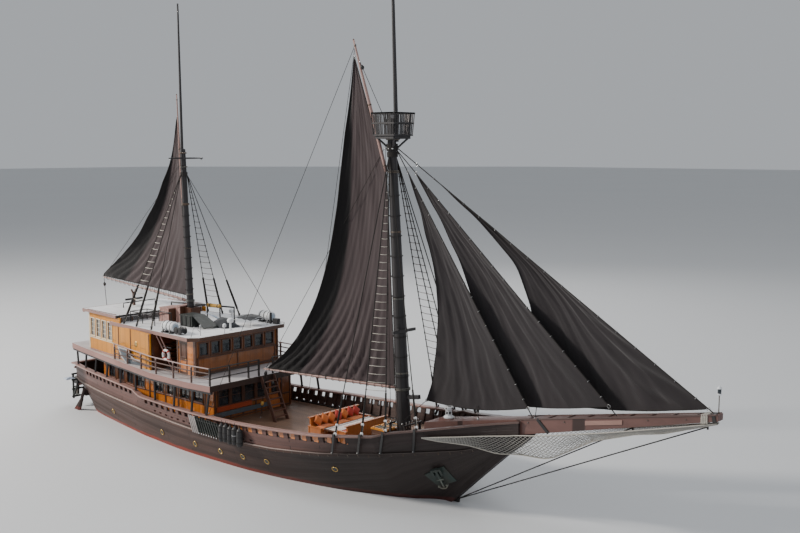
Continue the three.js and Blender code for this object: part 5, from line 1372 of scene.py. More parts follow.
def buildSail(name, row):
    if "stay" in row:
        luff = [onStay(row["stay"], lerp(row["low"], row["high"], t)) for t in (0, 0.5, 1)]
        foot, head = stayLine(row["stay"])
        stayX = lambda z: lerp(foot.x, head.x, (z - foot.z) / (head.z - foot.z))
        leech = [Vector((x, sailGrid["jibSlant"] * (stayX(z) - x), z)) for x, z in row["leech"]] + [luff[-1]]
        slant = sailGrid["jibSlant"]
        turn, body, normal = Matrix(), "hull", Vector((slant, 1, slant)).normalized()
    else:
        luff, leech = ([Vector((x, 0, z)) for x, z in row[key]] for key in ("luff", "leech"))
        (mast, turn, body), normal = rigOf(name), toY
    leech = curveThrough([2 * leech[0] - leech[1]] + leech + [2 * leech[-1] - leech[-2]], 8)
    across, up = sailGrid["across"], sailGrid["up"]
    seed = sum(ord(c) for c in name)
    grid, uvs, shadedLeechMarks = [], [], []
    for j in range(up + 1):
        t = j / up
        a, b = alongPoints(luff, t), alongPoints(leech, t)
        for i in range(across + 1):
            s = i / across
            p = a.lerp(b, s)
            if "stay" in row:  # the foot is cut in a shallow arc
                p.z -= sailGrid["footArc"] * math.sin(math.pi * s) * (1 - t) ** 6
            hold = min(1.0, s * 6)  # the luff is held straight
            work = "stay" not in row
            stray = 0.35 * noise.noise(Vector((s * 3, t * 5, seed)))
            run = s * row["folds"] + 0.9 * math.sin(1.7 * t + seed) + stray
            run += 0.5 * t * row["folds"] if work else 0
            wave = math.sin(2 * math.pi * run) + 0.45 * math.sin(2 * math.pi * (2.3 * run + 0.3))
            sharp = math.copysign(abs(wave) ** 0.8, wave)
            fade = max(0, 1 - t / 0.36) ** 1.2 * 0.9 + 0.1 if work else (1 - t) ** 1.1 * 0.9 + 0.12
            fade *= min(1.0, (b - a).length / 2.5)
            free = 0.35 + 0.65 * math.sin(math.pi * min(1, s * 0.9 + 0.1))
            drop = row["fold"] * sharp * fade * hold * free
            crease = sailGrid["crease"] * noise.noise(Vector((s * 7, t * 9, seed * 3))) * hold
            # gathers at the foot
            way = s * 13 + t * 9 + 0.8 * noise.noise(Vector((s * 4, t * 4, seed + 5)))
            gathers = sailGrid["gather"] * max(0, math.sin(2 * math.pi * way)) ** 3
            crease += gathers * max(0, 1 - t * 3.2) * hold
            belly = row["belly"] * math.sin(math.pi * s) * math.sin(math.pi * min(1, t * 1.1 + 0.06))
            if work:  # the leech curls over, and the same ramp marks where its painted shade goes
                shadedLeech = min(1, max(0, (s - 0.66 - 0.1 * t) / 0.34)) * min(1, (b - a).length / 1.6)
                drop -= sailGrid["curl"] * shadedLeech ** 2 * math.sin(math.pi * min(1, t * 1.05 + 0.04)) ** 0.5
                shadedLeechMarks.append(shadedLeech * 2.4)
            if name == "outer_jib":  # gathers slant up from the tack along the stay
                near = max(0, 1 - s * 2.2) * max(0, 1 - t * 2.4)
                drop += 0.12 * near * math.sin(26 * (t * 1.6 - s)) * min(1, s * 14)
            grid.append(turn @ (p + normal * ((drop + crease + belly) * min(1, j / 2 + 0.2))))
            uvs.append(((s * (b - a).length) * half, t * 8.0))
    mesh = clothMesh(name + "Cloth", [p * half for p in grid], across, up, uvs,
                     "worksail" if shadedLeechMarks else "sail")
    if shadedLeechMarks:
        mesh.attributes.new("shadedLeech", "FLOAT", "POINT").data.foreach_set("value", shadedLeechMarks)
    piece = linked(name + "Cloth", mesh)
    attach(piece, body)
    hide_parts(name)
    # bolt rope round the edge and what holds the luff
    row["grid"] = grid
    edge = [grid[j * (across + 1)] for j in range(up + 1)]
    edge += [grid[up * (across + 1) + i] for i in range(1, across + 1)]
    edge += [grid[j * (across + 1) + across] for j in range(up - 1, -1, -1)]
    edge += [grid[i] for i in range(across - 1, 0, -1)]
    clean = [edge[0]]
    for p in edge[1:]:
        if (p - clean[-1]).length > 0.05:
            clean.append(p)
    ropes = Shape("rope", "steel")
    ropes.tube(clean, sailGrid["boltRope"], 6, 0, True)
    for corner in (grid[0], grid[across], grid[up * (across + 1)]):
        ropes.tube(circle(corner, toX, toZ, sailGrid["cringle"], 12), 0.014, 6, 1, True)
    for j in range(3, up - 2, 5):
        p = grid[j * (across + 1)]
        if "stay" in row:  # hanks on the stay
            along = (luff[-1] - luff[0]).normalized()
            u = along.cross(toY).normalized()
            ropes.tube(circle(p, u, toY, sailGrid["hank"], 10), 0.011, 5, 1, True)
        else:  # hoops round the mast, up to the gaff
            back = turn.inverted() @ p
            if back.z < row["hoopsEnd"]:
                centre, r = mastAt(mast, back.z), mastRadius(mast, back.z) + 0.035
                hoop = circle(centre, toX * r, Vector((0, r, 0.03)), 1, 24)
                ropes.tube([turn @ p for p in hoop], 0.016, 6, 0, True)
                ropes.tube([p, turn @ (centre - toX * r)], 0.014, 5, 0)
    if "stay" not in row:  # lacing round the boom
        start, end = sparEnds("mainBoom" if name == "mainsail" else "mizzenBoom")
        for i in range(2, across, 3):
            p = turn.inverted() @ grid[i]
            at = start.lerp(end, (start.x - p.x) / (start.x - end.x))
            loop = circle(at, toY, toZ, sailGrid["lacing"], 14)
            for q in loop:  # drawn out to the cloth's edge
                q.z += (p.z - at.z) * max(0, (q.z - at.z) / sailGrid["lacing"]) ** 3
            ropes.tube([turn @ q for q in loop], 0.011, 5, 0, True)
    edging = ropes.make(name + "Ropes", body)
    area = sum(f.area for f in mesh.polygons)
    high = sum((a - b).length for a, b in zip(leech, leech[1:])) * half
    wide = max(area / (0.5 * high), 0.5)
    round(wide, 2)


for sailName, sailRow in sails.items():
    buildSail(sailName, sailRow)
print("sails set")


# frames, panes and bars for one opening: along and up span the wall, out points outdoors
def framedPane(shape, centre, along, out, wide, high, frame=0.06, proud=0.03, looks=(0, 1, 2),
               bars=(0, 0), depth=0.09):
    centre, along, out, up = Vector(centre), Vector(along).normalized(), Vector(out).normalized(), toZ
    w, h = wide / 2, high / 2
    at = lambda u, v, n: centre + along * u + up * v + out * n
    for v in (-h - frame * 0.3, h + frame * 0.3):
        shape.bar(at(-w - frame, v, proud / 2), at(w + frame, v, proud / 2), proud + 0.03,
                  frame, looks[0], up)
    for u in (-w - frame * 0.3, w + frame * 0.3):
        shape.bar(at(u, -h, proud / 2), at(u, h, proud / 2), frame, proud + 0.03, looks[0], out)
    shape.bar(at(-w - frame * 1.3, -h - frame * 0.9, proud), at(w + frame * 1.3, -h - frame * 0.9, proud),
              0.09, 0.03, looks[2], up)
    pane = [at(-w, -h, -depth * 0.5), at(w, -h, -depth * 0.5), at(w, h, -depth * 0.5),
            at(-w, h, -depth * 0.5)]
    shape.prism(pane, out * -0.012, looks[1])
    for k in range(bars[0]):
        u = -w + 2 * w * (k + 1) / (bars[0] + 1)
        shape.bar(at(u, -h, -depth * 0.4), at(u, h, -depth * 0.4), 0.03, 0.03, looks[0], out)
    for k in range(bars[1]):
        v = -h + 2 * h * (k + 1) / (bars[1] + 1)
        shape.bar(at(-w, v, -depth * 0.4), at(w, v, -depth * 0.4), 0.03, 0.03, looks[0], up)


houseForm = {
    "lowerX": [-9.4, -8.2, -7.0, -5.8, -4.0, -2.8, -1.6, -0.4], "lowerY": [-2.1, -1.2, -0.3, 0.6],
    "frontY": [-2.35, -1.55, -0.78, 0, 0.78, 1.55, 2.35], "cabinX": [-10.75, -10.0, -9.25, -8.5],
    "aftY": [-1.6, 0, 1.6],
    "lowerPosts": [-10.2, -8.8, -7.6, -6.4, -4.9, -3.4, -2.2, -1.0, 0.2], "cabinPosts": [-7.42, -5.95, -3.78],
    "frontPosts": [-2.7, -1.65, -0.75, 0.15, 1.06, 2.04, 2.7],
    "paneZ": {"lower": 3.11, "cabin": 5.675, "front": 5.54},
    "treads": {"count": 6, "foot": 4.16, "rise": 0.24, "half": 0.4, "y": 2.2},
}


def lowerY(x):
    return 2.75 if x > -6.2 else lerp(2.75, 2.1, (-6.2 - x) / 4.4)


def cabinY(x):
    return lerp(3.52, 2.62, (-3.7 - x) / 7.5)


def buildHouseTrim():
    shape = Shape("dark", "glass", "cap", "varnish", "cream", "brass", "black", "paleGlass")
    f = houseForm
    for side in (-1, 1):
        for x in f["lowerX"]:
            slope = 0 if x > -6.2 else side * 0.65 / 4.4
            framedPane(shape, (x, side * (lowerY(x) + 0.045), f["paneZ"]["lower"]), (1, slope, 0),
                       (-slope, side, 0), 0.8, 0.78, 0.06, 0.02, (0, 1, 2), (1, 0))
        for x in f["lowerPosts"]:
            y = side * (lowerY(x) + 0.045)
            shape.bar((x, y, 2.0), (x, y, 3.8), 0.12, 0.05, 0, (0, 1, 0))
        for z in (2.62, 3.62):
            for a, b in ((-10.6, -6.2), (-6.2, 0.9)):
                shape.bar((a, side * (lowerY(a) + 0.05), z), (b, side * (lowerY(b) + 0.05), z), 0.03, 0.07, 0)
        for x in f["cabinX"]:
            framedPane(shape, (x, side * (cabinY(x) + 0.045), f["paneZ"]["cabin"]), (1, side * 0.12, 0),
                       (-0.12, side, 0), 0.52, 1.05, 0.055, 0.02, (4, 7, 4), (1, 3))
        # cream sill rail and the foot board of the yellow cabin
        for z, thick in ((5.02, 0.06), (4.28, 0.09)):
            a, b = (-11.2, -8.05) if z > 5 else (-11.2, -3.75)
            shape.bar((a, side * (cabinY(a) + 0.055), z), (b, side * (cabinY(b) + 0.055), z), 0.03, thick,
                      4 if z > 5 else 2)
        for x in f["cabinPosts"]:
            shape.bar((x, side * (cabinY(x) + 0.05), 4.2), (x, side * (cabinY(x) + 0.05), 6.13), 0.07,
                      0.04, 0, (0, 1, 0))
        shape.bar((-11.2, side * (2.62 + 0.03), 4.2), (-11.2, side * (2.62 + 0.03), 6.6), 0.1,
                  0.08, 4, (0, 1, 0))
        normal = Vector((-0.12, side, 0)).normalized()
        foot = Vector((-5.3, side * (cabinY(-5.3) + 0.03), 5.35))
        shape.turned(foot, normal, [(0.17, 0), (0.17, 0.03), (0.15, 0.045), (0.13, 0.04), (0.13, 0.0)], 24, 5)
        shape.turned(foot - normal * 0.02, normal, [(0.13, 0), (0.13, 0.02)], 20, 1)
        for x in (-0.5, -1.95):  # corner boards of the wheelhouse
            shape.bar((x, side * 2.95, 4.1), (x, side * 2.95, 6.13), 0.1, 0.06, 0, (0, 1, 0))
        shape.bar((-0.4, side * 2.93, 4.1), (-0.4, side * 2.93, 6.13), 0.1, 0.1, 0, (0, 1, 0))
        for x in (-3.1, -2.75):  # two slanting stanchions in the recess
            shape.tube([(x - 0.35, side * 3.3, 6.12), (x + 0.25, side * 2.7, 4.12)], 0.035, 10, 2)
        for k in range(6):  # panelling in the recess
            x = -3.5 + k * 0.26
            shape.bar((x, side * 1.66, 4.12), (x, side * 1.66, 6.1), 0.05, 0.03, 0, (0, 1, 0))
        shape.bar((-3.6, side * 1.67, 5.1), (-2.1, side * 1.67, 5.1), 0.03, 0.09, 0)
        step = f["treads"]
        for k in range(step["count"]):  # stair treads going down inside the recess
            y, z = side * step["y"], step["foot"] + step["rise"] * k
            shape.box((-3.62, y - step["half"], z), (-3.5 + 0.02 * k, y + step["half"], z + 0.04), 0)
    framedPane(shape, (-1.45, 2.945, f["paneZ"]["front"]), (1, 0, 0), (0, 1, 0), 0.7, 0.68, 0.06, 0.02,
               (0, 1, 2), (1, 0))
    for y in f["frontY"]:
        framedPane(shape, (-0.43, y, f["paneZ"]["front"]), (0, 1, 0), (1, 0, 0), 0.58, 0.68, 0.07,
                   0.025, (0, 1, 0))
    for z, high in ((4.2, 0.12), (5.05, 0.06), (6.06, 0.12)):
        shape.bar((-0.41, -2.88, z), (-0.41, 2.88, z), 0.05, high, 0)
    for y in (-2.76, 0, 2.76):
        shape.bar((-0.405, y, 4.15), (-0.405, y, 5.1), 0.07, 0.035, 0, (1, 0, 0))
    for y in f["lowerY"]:
        framedPane(shape, (0.9, y, 3.05), (0, 1, 0), (1, 0, 0), 0.72, 0.9, 0.07, 0.025, (0, 1, 2), (0, 1))
    for y in f["frontPosts"]:
        shape.bar((0.92, y, 1.78), (0.92, y, 3.78), 0.09, 0.04, 0, (1, 0, 0))
    for a, b in ((-2.75, 1.08), (2.02, 2.75)):
        for z in (1.84, 2.5, 3.66):
            shape.bar((0.92, a, z), (0.92, b, z), 0.03, 0.08, 0)
    for y in (-1.2, 1.2):
        framedPane(shape, (-10.6, y, 3.25), (0, 1, 0), (-1, 0, 0), 0.8, 0.7, 0.07, 0.025, (0, 1, 2), (1, 0))
    for y in f["aftY"]:
        framedPane(shape, (-11.2, y, f["paneZ"]["cabin"]), (0, 1, 0), (-1, 0, 0), 0.7, 1.05, 0.055, 0.02,
                   (4, 7, 4), (1, 3))
    shape.make("houseTrim", bevel=0.003)


# doors: a panel, a pane and a brass knob on each outer face
def buildDoors():
    knob = [(0.02, 0), (0.02, 0.03), (0.035, 0.045), (0.032, 0.07), (0.01, 0.08)]
    leaf = Shape("varnish", "glass", "brass", "dark")
    x = 0.902
    leaf.box((x, 1.27, 1.95), (x + 0.018, 1.83, 2.45), 0)
    framedPane(leaf, (x - 0.004, 1.55, 3.05), (0, 1, 0), (1, 0, 0), 0.46, 0.8, 0.05, 0.014, (3, 1, 3),
               (0, 1), depth=-0.006)
    leaf.turned((x, 1.24, 2.72), toX, knob, 14, 2)
    leaf.make("saloonDoorFittings", "saloon_door", bevel=0.002)
    leaf = Shape("varnish", "glass", "brass", "dark")
    y = -2.945
    leaf.box((-1.7, y - 0.016, 4.25), (-1.2, y, 4.85), 0)
    framedPane(leaf, (-1.45, y + 0.004, 5.45), (1, 0, 0), (0, -1, 0), 0.42, 0.7, 0.05, 0.014,
               (3, 1, 3), depth=-0.006)
    leaf.turned((-1.16, y, 4.98), -toY, knob, 14, 2)
    leaf.make("wheelhouseDoorFittings", "wheelhouse_door", bevel=0.002)


buildHouseTrim()
buildDoors()
print("houses trimmed")


# boards round a roof's edge
def edgeBoards(shape, outline, low, high, looks):
    count, proud = len(outline), 0.035
    middle = sum((Vector(p) for p in outline), Vector((0, 0))) / count
    for i in range(count):
        a, b = Vector(outline[i]), Vector(outline[(i + 1) % count])
        out = Vector((b.y - a.y, a.x - b.x)).normalized()
        if out.dot(a - middle) < 0:
            out = -out
        a3, b3 = ((p.x + out.x * proud / 2, p.y + out.y * proud / 2, (low + high) / 2) for p in (a, b))
        shape.bar(a3, b3, high - low, proud, looks[i], (out.x, out.y, 0))


roofForm = {
    "outline": [(0.07, 3.02), (-0.38, 3.47), (-8.3, 3.1), (-8.3, -3.1), (-0.38, -3.47), (0.07, -3.02)],
    "cabin": [(-7.5, 3.22), (-11.6, 2.85), (-11.6, -2.85), (-7.5, -3.22)],
}


# a white domed aerial on its post
def blister(shape, x, y, look):
    profile = [(0.1, 0), (0.1, 0.03), (0.055, 0.05), (0.055, 0.42), (0.16, 0.46), (0.19, 0.55), (0.16, 0.64),
               (0.07, 0.7), (0.005, 0.72)]
    shape.turned((x, y, 6.3), toZ, profile, 18, look)


# a closed crate with battens, corner boards and a lid
def crate(gear, lo, hi):
    gear.box(lo, hi, 0)
    x0, y0, z0 = lo
    x1, y1, z1 = hi
    for z in (z0 + 0.05, (z0 + z1) / 2, z1 - 0.04):
        gear.box((x0 - 0.02, y0 - 0.025, z - 0.04), (x1 + 0.02, y0, z + 0.04), 0)
    gear.box((x1, y0, z0), (x1 + 0.02, y1, z1), 1)
    gear.box((x0 - 0.04, y0 - 0.05, z1), (x1 + 0.05, y1 + 0.04, z1 + 0.05), 0)
    for x in (x0, x1 - 0.06):
        gear.box((x, y0 - 0.03, z0), (x + 0.07, y0, z1), 0)


# roofs: boards round their edges, and louvres and rails at the step between them
def buildRoofs():
    edging = Shape("cap", "dark", "black", "roof")
    edgeBoards(edging, roofForm["outline"], 6.105, 6.312, (1, 0, 0, 0, 1, 1))
    edgeBoards(edging, roofForm["cabin"], 6.57, 6.732, (0, 0, 0, 2))
    for side in (-1, 1):  # curved brackets under the cabin roof's after corners
        edging.prism([(-11.62, side * 2.83, 6.72), (-11.62, side * 2.83, 6.56), (-11.5, side * 2.84, 6.5),
                      (-11.2, side * 2.86, 6.57), (-11.2, side * 2.86, 6.72)], (0, side * 0.06, 0), 0)
        for k in range(9):
            x = -10.9 + k * 0.42
            edging.box((x, side * 2.95 - 0.02, 6.72), (x + 0.05, side * 2.95 + 0.02, 6.75), 0)
        edging.bar((-10.95, side * 2.93, 6.765), (-7.6, side * 3.12, 6.765), 0.05, 0.03, 0)
    edging.make("roofEdges", bevel=0.004)
    step = Shape("black", "dark", "iron")
    for k in range(4):
        z = 6.37 + 0.065 * k
        step.bar((-7.44, -2.85, z), (-7.44, 2.85, z), 0.03, 0.045, 0)
    for k in range(9):
        y = -2.88 + k * 0.72
        step.bar((-7.43, y, 6.31), (-7.43, y, 6.6), 0.06, 0.07, 1, (1, 0, 0))
    for y in (-2.35, -1.2):  # low black rails forward of the step
        step.tube([(-7.3, y, 6.32), (-7.3, y, 6.92), (-4.9, y, 6.92), (-4.9, y, 6.32)], 0.03, 8, 0)
        step.tube([(-6.1, y, 6.32), (-6.1, y, 6.92)], 0.028, 8, 0)
    for x in (-7.3, -6.1, -4.9):
        step.tube([(x, -2.35, 6.92), (x, -1.2, 6.92)], 0.026, 8, 0)
    step.tube([(-9.9, -1.1, 6.72), (-9.9, -1.1, 7.0), (-9.9, 1.2, 7.02), (-9.9, 1.2, 6.72)], 0.035, 8, 0)
    # crutch for the mizzen boom
    step.bar((-10.4, 0, 6.71), (-10.4, 0, 7.55), 0.14, 0.14, 1)
    step.bar((-10.4, -0.62, 7.12), (-10.4, 0.62, 7.12), 0.09, 0.11, 0)
    for y in (-0.17, 0.17):
        step.bar((-10.4, y * 0.4, 7.5), (-10.4, y, 7.72), 0.07, 0.09, 1)
    step.make("roofStep", bevel=0.004)


# gear lashed on the wheelhouse roof
def buildRoofGear():
    gear = Shape("pink", "dark", "white", "black", "brass", "steel", "ochre", "tarred")
    crate(gear, (-6.2, -1.05, 6.31), (-5.35, -0.1, 7.1))
    crate(gear, (-5.2, -0.62, 6.31), (-4.82, 0.3, 7.25))
    for out in (-1, 1):  # boards round the foot of the mizzen mast
        gear.box((-4.75, out * 0.31 - 0.03, 6.31), (-4.15, out * 0.31 + 0.03, 7.2), 1)
        gear.box((-4.45 + out * 0.31 - 0.03, -0.31, 6.31), (-4.45 + out * 0.31 + 0.03, 0.31, 7.2), 1)
    gear.box((-4.0, -1.25, 6.31), (-2.9, -0.35, 6.92), 7)
    gear.box((-4.03, -1.28, 6.92), (-2.87, -0.32, 6.97), 7)
    for x in (-3.85, -3.45, -3.05):
        gear.bar((x, -1.27, 6.33), (x, -1.27, 6.92), 0.06, 0.03, 3, (0, 1, 0))
    gear.prism([(-2.87, -1.2, 6.93), (-2.87, -0.35, 6.93), (-1.75, -0.25, 6.36), (-1.75, -1.3, 6.36)],
               (0, 0, 0.05), 7)
    a, b = Vector((-4.0, 0.75, 7.28)), Vector((-3.1, 0.95, 7.26))  # a rolled awning with two lashings
    gear.tube([a, b], 0.11, 14, 6)
    for t in (0.2, 0.8):
        gear.turned(a.lerp(b, t), (0.97, 0.22, 0),
                    [(0.11, 0), (0.122, 0.01), (0.122, 0.05), (0.11, 0.06)], 14, 3)
    for x, y, z in ((-4.05, 0.75, 6.31), (-3.1, 0.93, 6.31)):
        gear.tube([(x, y, z), (x, y, 7.2)], 0.04, 8, 3)
    gear.tube([(-7.0, 0.35, 7.2), (-2.5, 1.5, 7.2)], 0.05, 8, 3)
    for x, y in ((-7.0, 0.35), (-2.5, 1.5)):
        gear.tube([(x, y, 6.32), (x, y, 7.24)], 0.04, 8, 3)
    for x, y in ((-0.64, -0.3), (-3.2, 1.9)):
        blister(gear, x, y, 2)
    gear.turned((-0.05, -1.2, 6.3), toZ, [(0.06, 0), (0.03, 0.04), (0.03, 0.35), (0.1, 0.36), (0.1, 0.5),
                                          (0.04, 0.56)], 14, 2)
    gear.turned((-0.5, -2.5, 6.3), toZ, [(0.05, 0), (0.02, 0.04), (0.02, 0.42), (0.06, 0.44), (0.06, 0.56),
                                         (0.02, 0.6)], 12, 5)
    for x, y in ((-1.75, -3.0), (-1.45, -3.0)):  # black reels by the starboard raft
        gear.turned((x, y - 0.2, 6.52), (0, 1, 0),
                    [(0.2, 0), (0.2, 0.04), (0.12, 0.06), (0.12, 0.34), (0.2, 0.36), (0.2, 0.4)], 16, 3)
    gear.box((-0.52, 2.7, 6.31), (-0.12, 2.95, 6.62), 3)
    gear.bar((-0.62, 2.66, 6.31), (-0.62, 2.66, 6.95), 0.1, 0.1, 3)
    gear.tube([(-0.2, -3.38, 6.3), (-0.25, -3.1, 6.9), (0.05, -2.9, 6.6)], 0.02, 6, 5)
    gear.make("roofGear", bevel=0.006)


# life rafts: ribbed canisters with dark bands on black cradles
def buildRafts():
    for side, name, x in ((-1, "Starboard", -2.55), (1, "Port", -1.35)):
        raft = Shape("white", "blue", "black", "steel")
        y, z = side * 3.0, 6.66
        profile = [(0.02, -0.56), (0.16, -0.55), (0.24, -0.5), (0.27, -0.42)]
        for k in range(11):
            at = -0.38 + k * 0.072
            profile += [(0.27, at), (0.283, at + 0.02), (0.283, at + 0.04), (0.27, at + 0.06)]
        profile += [(0.27, 0.42), (0.24, 0.5), (0.16, 0.545)]
        raft.turned((x, y, z), toX, profile, 28, 0)
        raft.turned((x, y, z), toX, [(0.215, 0.505), (0.2, 0.53), (0.12, 0.553), (0.01, 0.558)], 24, 1)
        raft.turned((x, y, z), toX, [(0.284, -0.01), (0.294, 0), (0.294, 0.035), (0.284, 0.045)], 28, 2)
        for at in (-0.33, 0.33):
            raft.turned((x, y, z), toX, [(0.275, at - 0.03), (0.291, at - 0.025), (0.291, at + 0.025),
                                         (0.275, at + 0.03)], 28, 2)
            raft.box((x + at - 0.05, y - 0.3, 6.3), (x + at + 0.05, y + 0.3, 6.36), 2)
            for out in (-1, 1):
                raft.bar((x + at, y + out * 0.27, 6.33), (x + at, y + out * 0.2, 6.5), 0.1,
                         0.07, 2, (0, 1, 0))
        for out in (-0.24, 0.24):
            raft.box((x - 0.5, y + out - 0.03, 6.3), (x + 0.5, y + out + 0.03, 6.35), 2)
        piece = raft.make("lifeRaft" + name, bevel=0.002)
        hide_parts("life_raft_" + name.lower())


buildRoofs()
buildRoofGear()
buildRafts()


# canvas thrown over lockers and the awning hoops
def coverSheet(name, corners, peak, look="canvas", legs=()):
    grid, uvs, n = [], [], 26
    a, b, c, d = (Vector(p) for p in corners)
    for j in range(n + 1):
        for i in range(n + 1):
            u, v = i / n, j / n
            p = a.lerp(b, u).lerp(d.lerp(c, u), v)
            inside = 0 < u < 1 and 0 < v < 1
            hump = math.sin(math.pi * u) ** 0.6 * math.sin(math.pi * v) ** 0.6 if inside else 0
            p.z += peak * hump + 0.035 * noise.noise(Vector((u * 5, v * 5, len(name)))) * (0.3 + hump)
            p.z += 0.02 * math.sin(u * 17 + v * 4) * (1 - hump)
            grid.append(p * half)
            uvs.append((u * (b - a).length * half, v * (d - a).length * half))
    mesh = clothMesh(name, grid, n, n, uvs, look)
    piece = linked(name, mesh)
    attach(piece, "hull")
    if legs:
        hoops = Shape("steel", "black")
        for path in legs:
            hoops.tube(path, 0.018, 8, 0)
        hoops.make(name + "Hoops")


coverSheet("lockerCover", [(-2.7, -0.3, 6.33), (-1.2, -0.3, 6.33), (-1.0, 0.75, 6.33),
                           (-2.7, 0.9, 6.33)], 0.5)
coverSheet("lightCover", [(-3.3, 0.0, 6.95), (-2.75, 0.0, 6.9), (-2.5, 0.85, 6.45),
                          (-3.1, 0.85, 6.5)], 0.06, "tarp")
coverSheet("hoodCover", [(-1.7, 0.9, 6.75), (-0.4, 0.9, 6.72), (-0.3, 2.1, 6.72), (-1.7, 2.1, 6.75)], 0.22,
           legs=[[(-0.38, 0.9, 6.32), (-0.3, 0.92, 6.72), (-0.35, 1.5, 6.85), (-0.28, 2.08, 6.72),
                  (-0.3, 2.1, 6.32)],
                 [(-1.7, 0.9, 6.32), (-1.7, 0.92, 6.74), (-1.7, 1.5, 6.86), (-1.7, 2.08, 6.74),
                  (-1.7, 2.1, 6.32)]])
print("roofs and their gear built")


# net of diamond meshes: two wings outside the bow that meet under the bowsprit; x, half-width and height of
# each rope
netForm = {
    "upper": [(14.99, 1.97, 3.44), (16.47, 1.23, 3.59), (18.28, 0.67, 3.85), (20.6, 0.64, 4.26),
              (23.5, 0.5, 4.9), (26.0, 0.3, 5.5), (28.0, 0.1, 6.0)],
    "lower": [(14.99, 1.97, 3.42), (15.61, 1.58, 3.29), (16.83, 0.95, 3.2), (17.96, 0.23, 2.9),
              (19.09, 0.04, 2.98),
              (20.14, 0.02, 3.03), (20.65, 0.02, 3.18), (22.6, 0.02, 4.28), (24.53, 0.02, 4.92),
              (25.76, 0.02, 5.18), (28.0, 0.02, 5.96)],
    "across": 14, "along": 110, "cord": 0.011, "rope": 0.026, "clear": 0.08,
}


def ropeAt(rows, x):
    for a, b in zip(rows, rows[1:]):
        if x <= b[0]:
            t = (x - a[0]) / (b[0] - a[0])
            return lerp(a[1], b[1], t), lerp(a[2], b[2], t)
    return rows[-1][1:]


def buildNet():
    f = netForm
    points, edges = [], []
    ropes = Shape("paleRope")
    for side in (-1, 1):
        first, n = len(points), f["across"]
        for i in range(f["along"] + 1):
            x = lerp(f["upper"][0][0], f["upper"][-1][0], i / f["along"])
            (upperY, upperZ), (footY, footZ) = ropeAt(f["upper"], x), ropeAt(f["lower"], x)
            for j in range(n + 1):
                v = j / n
                y, z = lerp(upperY, footY, v ** 1.5), lerp(upperZ, footZ, v)
                if x < 19.0:
                    s = stationAt(x)
                    y = max(y, sideAt(s, z) + f["clear"],
                            railSide(s, z) + f["clear"] if z > s["deckZ"] else 0)
                points.append(Vector((x, side * y, z)))
        for i in range(f["along"]):
            for j in range(n):
                a = first + i * (n + 1) + j
                edges.append((a, a + n + 2) if (i + j) % 2 == 0 else (a + n + 1, a + 1))
        for j in (0, n):
            line = [points[first + i * (n + 1) + j] for i in range(0, f["along"] + 1, 2)]
            ropes.tube(line, f["rope"], 6, 0)
    net = edgeCords("slungNet", points, edges, f["cord"], "net")
    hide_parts("bow_net")
    ropes.make("netRopes")


buildNet()


def buildBowspritFittings():
    shape = Shape("cap", "black", "iron", "white", "glass", "paleRope", "trim")
    wide = lambda x: lerp(0.43, 0.21, (x - 19.3) / 8.8)
    for side in (-1, 1):
        shape.bar((19.0, side * wide(19.0), bowspritZ(19.0)),
                  (28.05, side * wide(28.05), bowspritZ(28.05)), 0.07, 0.06, 0)
        shape.bar((20.05, side * (wide(20.05) + 0.02), bowspritZ(20.05) + 0.02),
                  (20.62, side * (wide(20.6) + 0.02), bowspritZ(20.6) - 0.62), 0.14, 0.03, 1, (0, 1, 0))
        x0, x1 = 22.4, 24.1  # a lighter plank let into each side
        shape.prism([(x, side * (wide(x) + 0.005), bowspritZ(x) - d) for x,
                     d in ((x0, 0.12), (x1, 0.12), (x1, 0.31), (x0, 0.31))],
                    (0, side * 0.025, 0), 6)
        for x in (19.6, 21.4, 25.2, 26.8):
            shape.turned((x, side * wide(x), bowspritZ(x) - 0.15), (0, side, 0),
                         [(0.03, 0), (0.03, 0.03), (0.012, 0.04)], 8, 2)
    for k in range(9):  # foot cleats across the top
        x = 19.6 + k * 0.95
        shape.bar((x, -wide(x) * 0.8, bowspritZ(x) + 0.015),
                  (x, wide(x) * 0.8, bowspritZ(x) + 0.015), 0.05, 0.04, 0)
    shape.bar((27.86, 0, bowspritZ(27.86) - 0.13), (28.0, 0, bowspritZ(28.0) - 0.13), 0.48, 0.32, 1)
    for k in range(4):
        x = 27.45 + k * 0.07
        y, z = wide(x) + 0.02, bowspritZ(x)
        shape.tube([(x, -y, z + 0.02), (x, y, z + 0.02), (x, y, z - 0.3), (x, -y, z - 0.3)],
                   0.035, 6, 5, True)
    shape.tube([(28.02, 0, 6.3), (28.02, 0, 7.1)], 0.022, 8, 2)
    shape.turned((28.02, 0, 7.08), toZ, [(0.02, 0), (0.08, 0.02), (0.095, 0.06), (0.08, 0.08)], 14, 3)
    shape.turned((28.02, 0, 7.15), toZ, [(0.07, 0), (0.075, 0.1), (0.07, 0.2)], 14, 4)
    shape.turned((28.02, 0, 7.34), toZ, [(0.1, 0), (0.09, 0.04), (0.03, 0.09), (0.012, 0.14)], 14, 3)
    shape.make("bowspritFittings", bevel=0.003)
    # bands, whelps and a brake round the capstan's drum
    capstan = Shape("black", "steel", "white")
    capstanX = 14.85
    foot = Vector((capstanX, 0, bowspritZ(capstanX) + 0.08))
    capstan.turned(foot + toZ * 0.17, toZ, [(0.132, 0), (0.145, 0.01), (0.145, 0.12), (0.132, 0.13)], 24, 0)
    for at in circle(foot, toX, toY, 0.14, 6):
        capstan.bar(at + toZ * 0.1, at + toZ * 0.36, 0.05, 0.03, 2, at - foot)
    capstan.turned(foot + toZ * 0.515, toZ, [(0.11, 0), (0.11, 0.02), (0.06, 0.03), (0.06, 0.0)], 20, 1)
    size = Vector((0.035, 0.035, 0.03))
    for at in circle(foot + toZ * 0.46, toX, toY, 0.185, 4):
        capstan.box(at - size, at + size, 0)
    capstan.make("capstanBands", "windlass", bevel=0.002)


buildBowspritFittings()


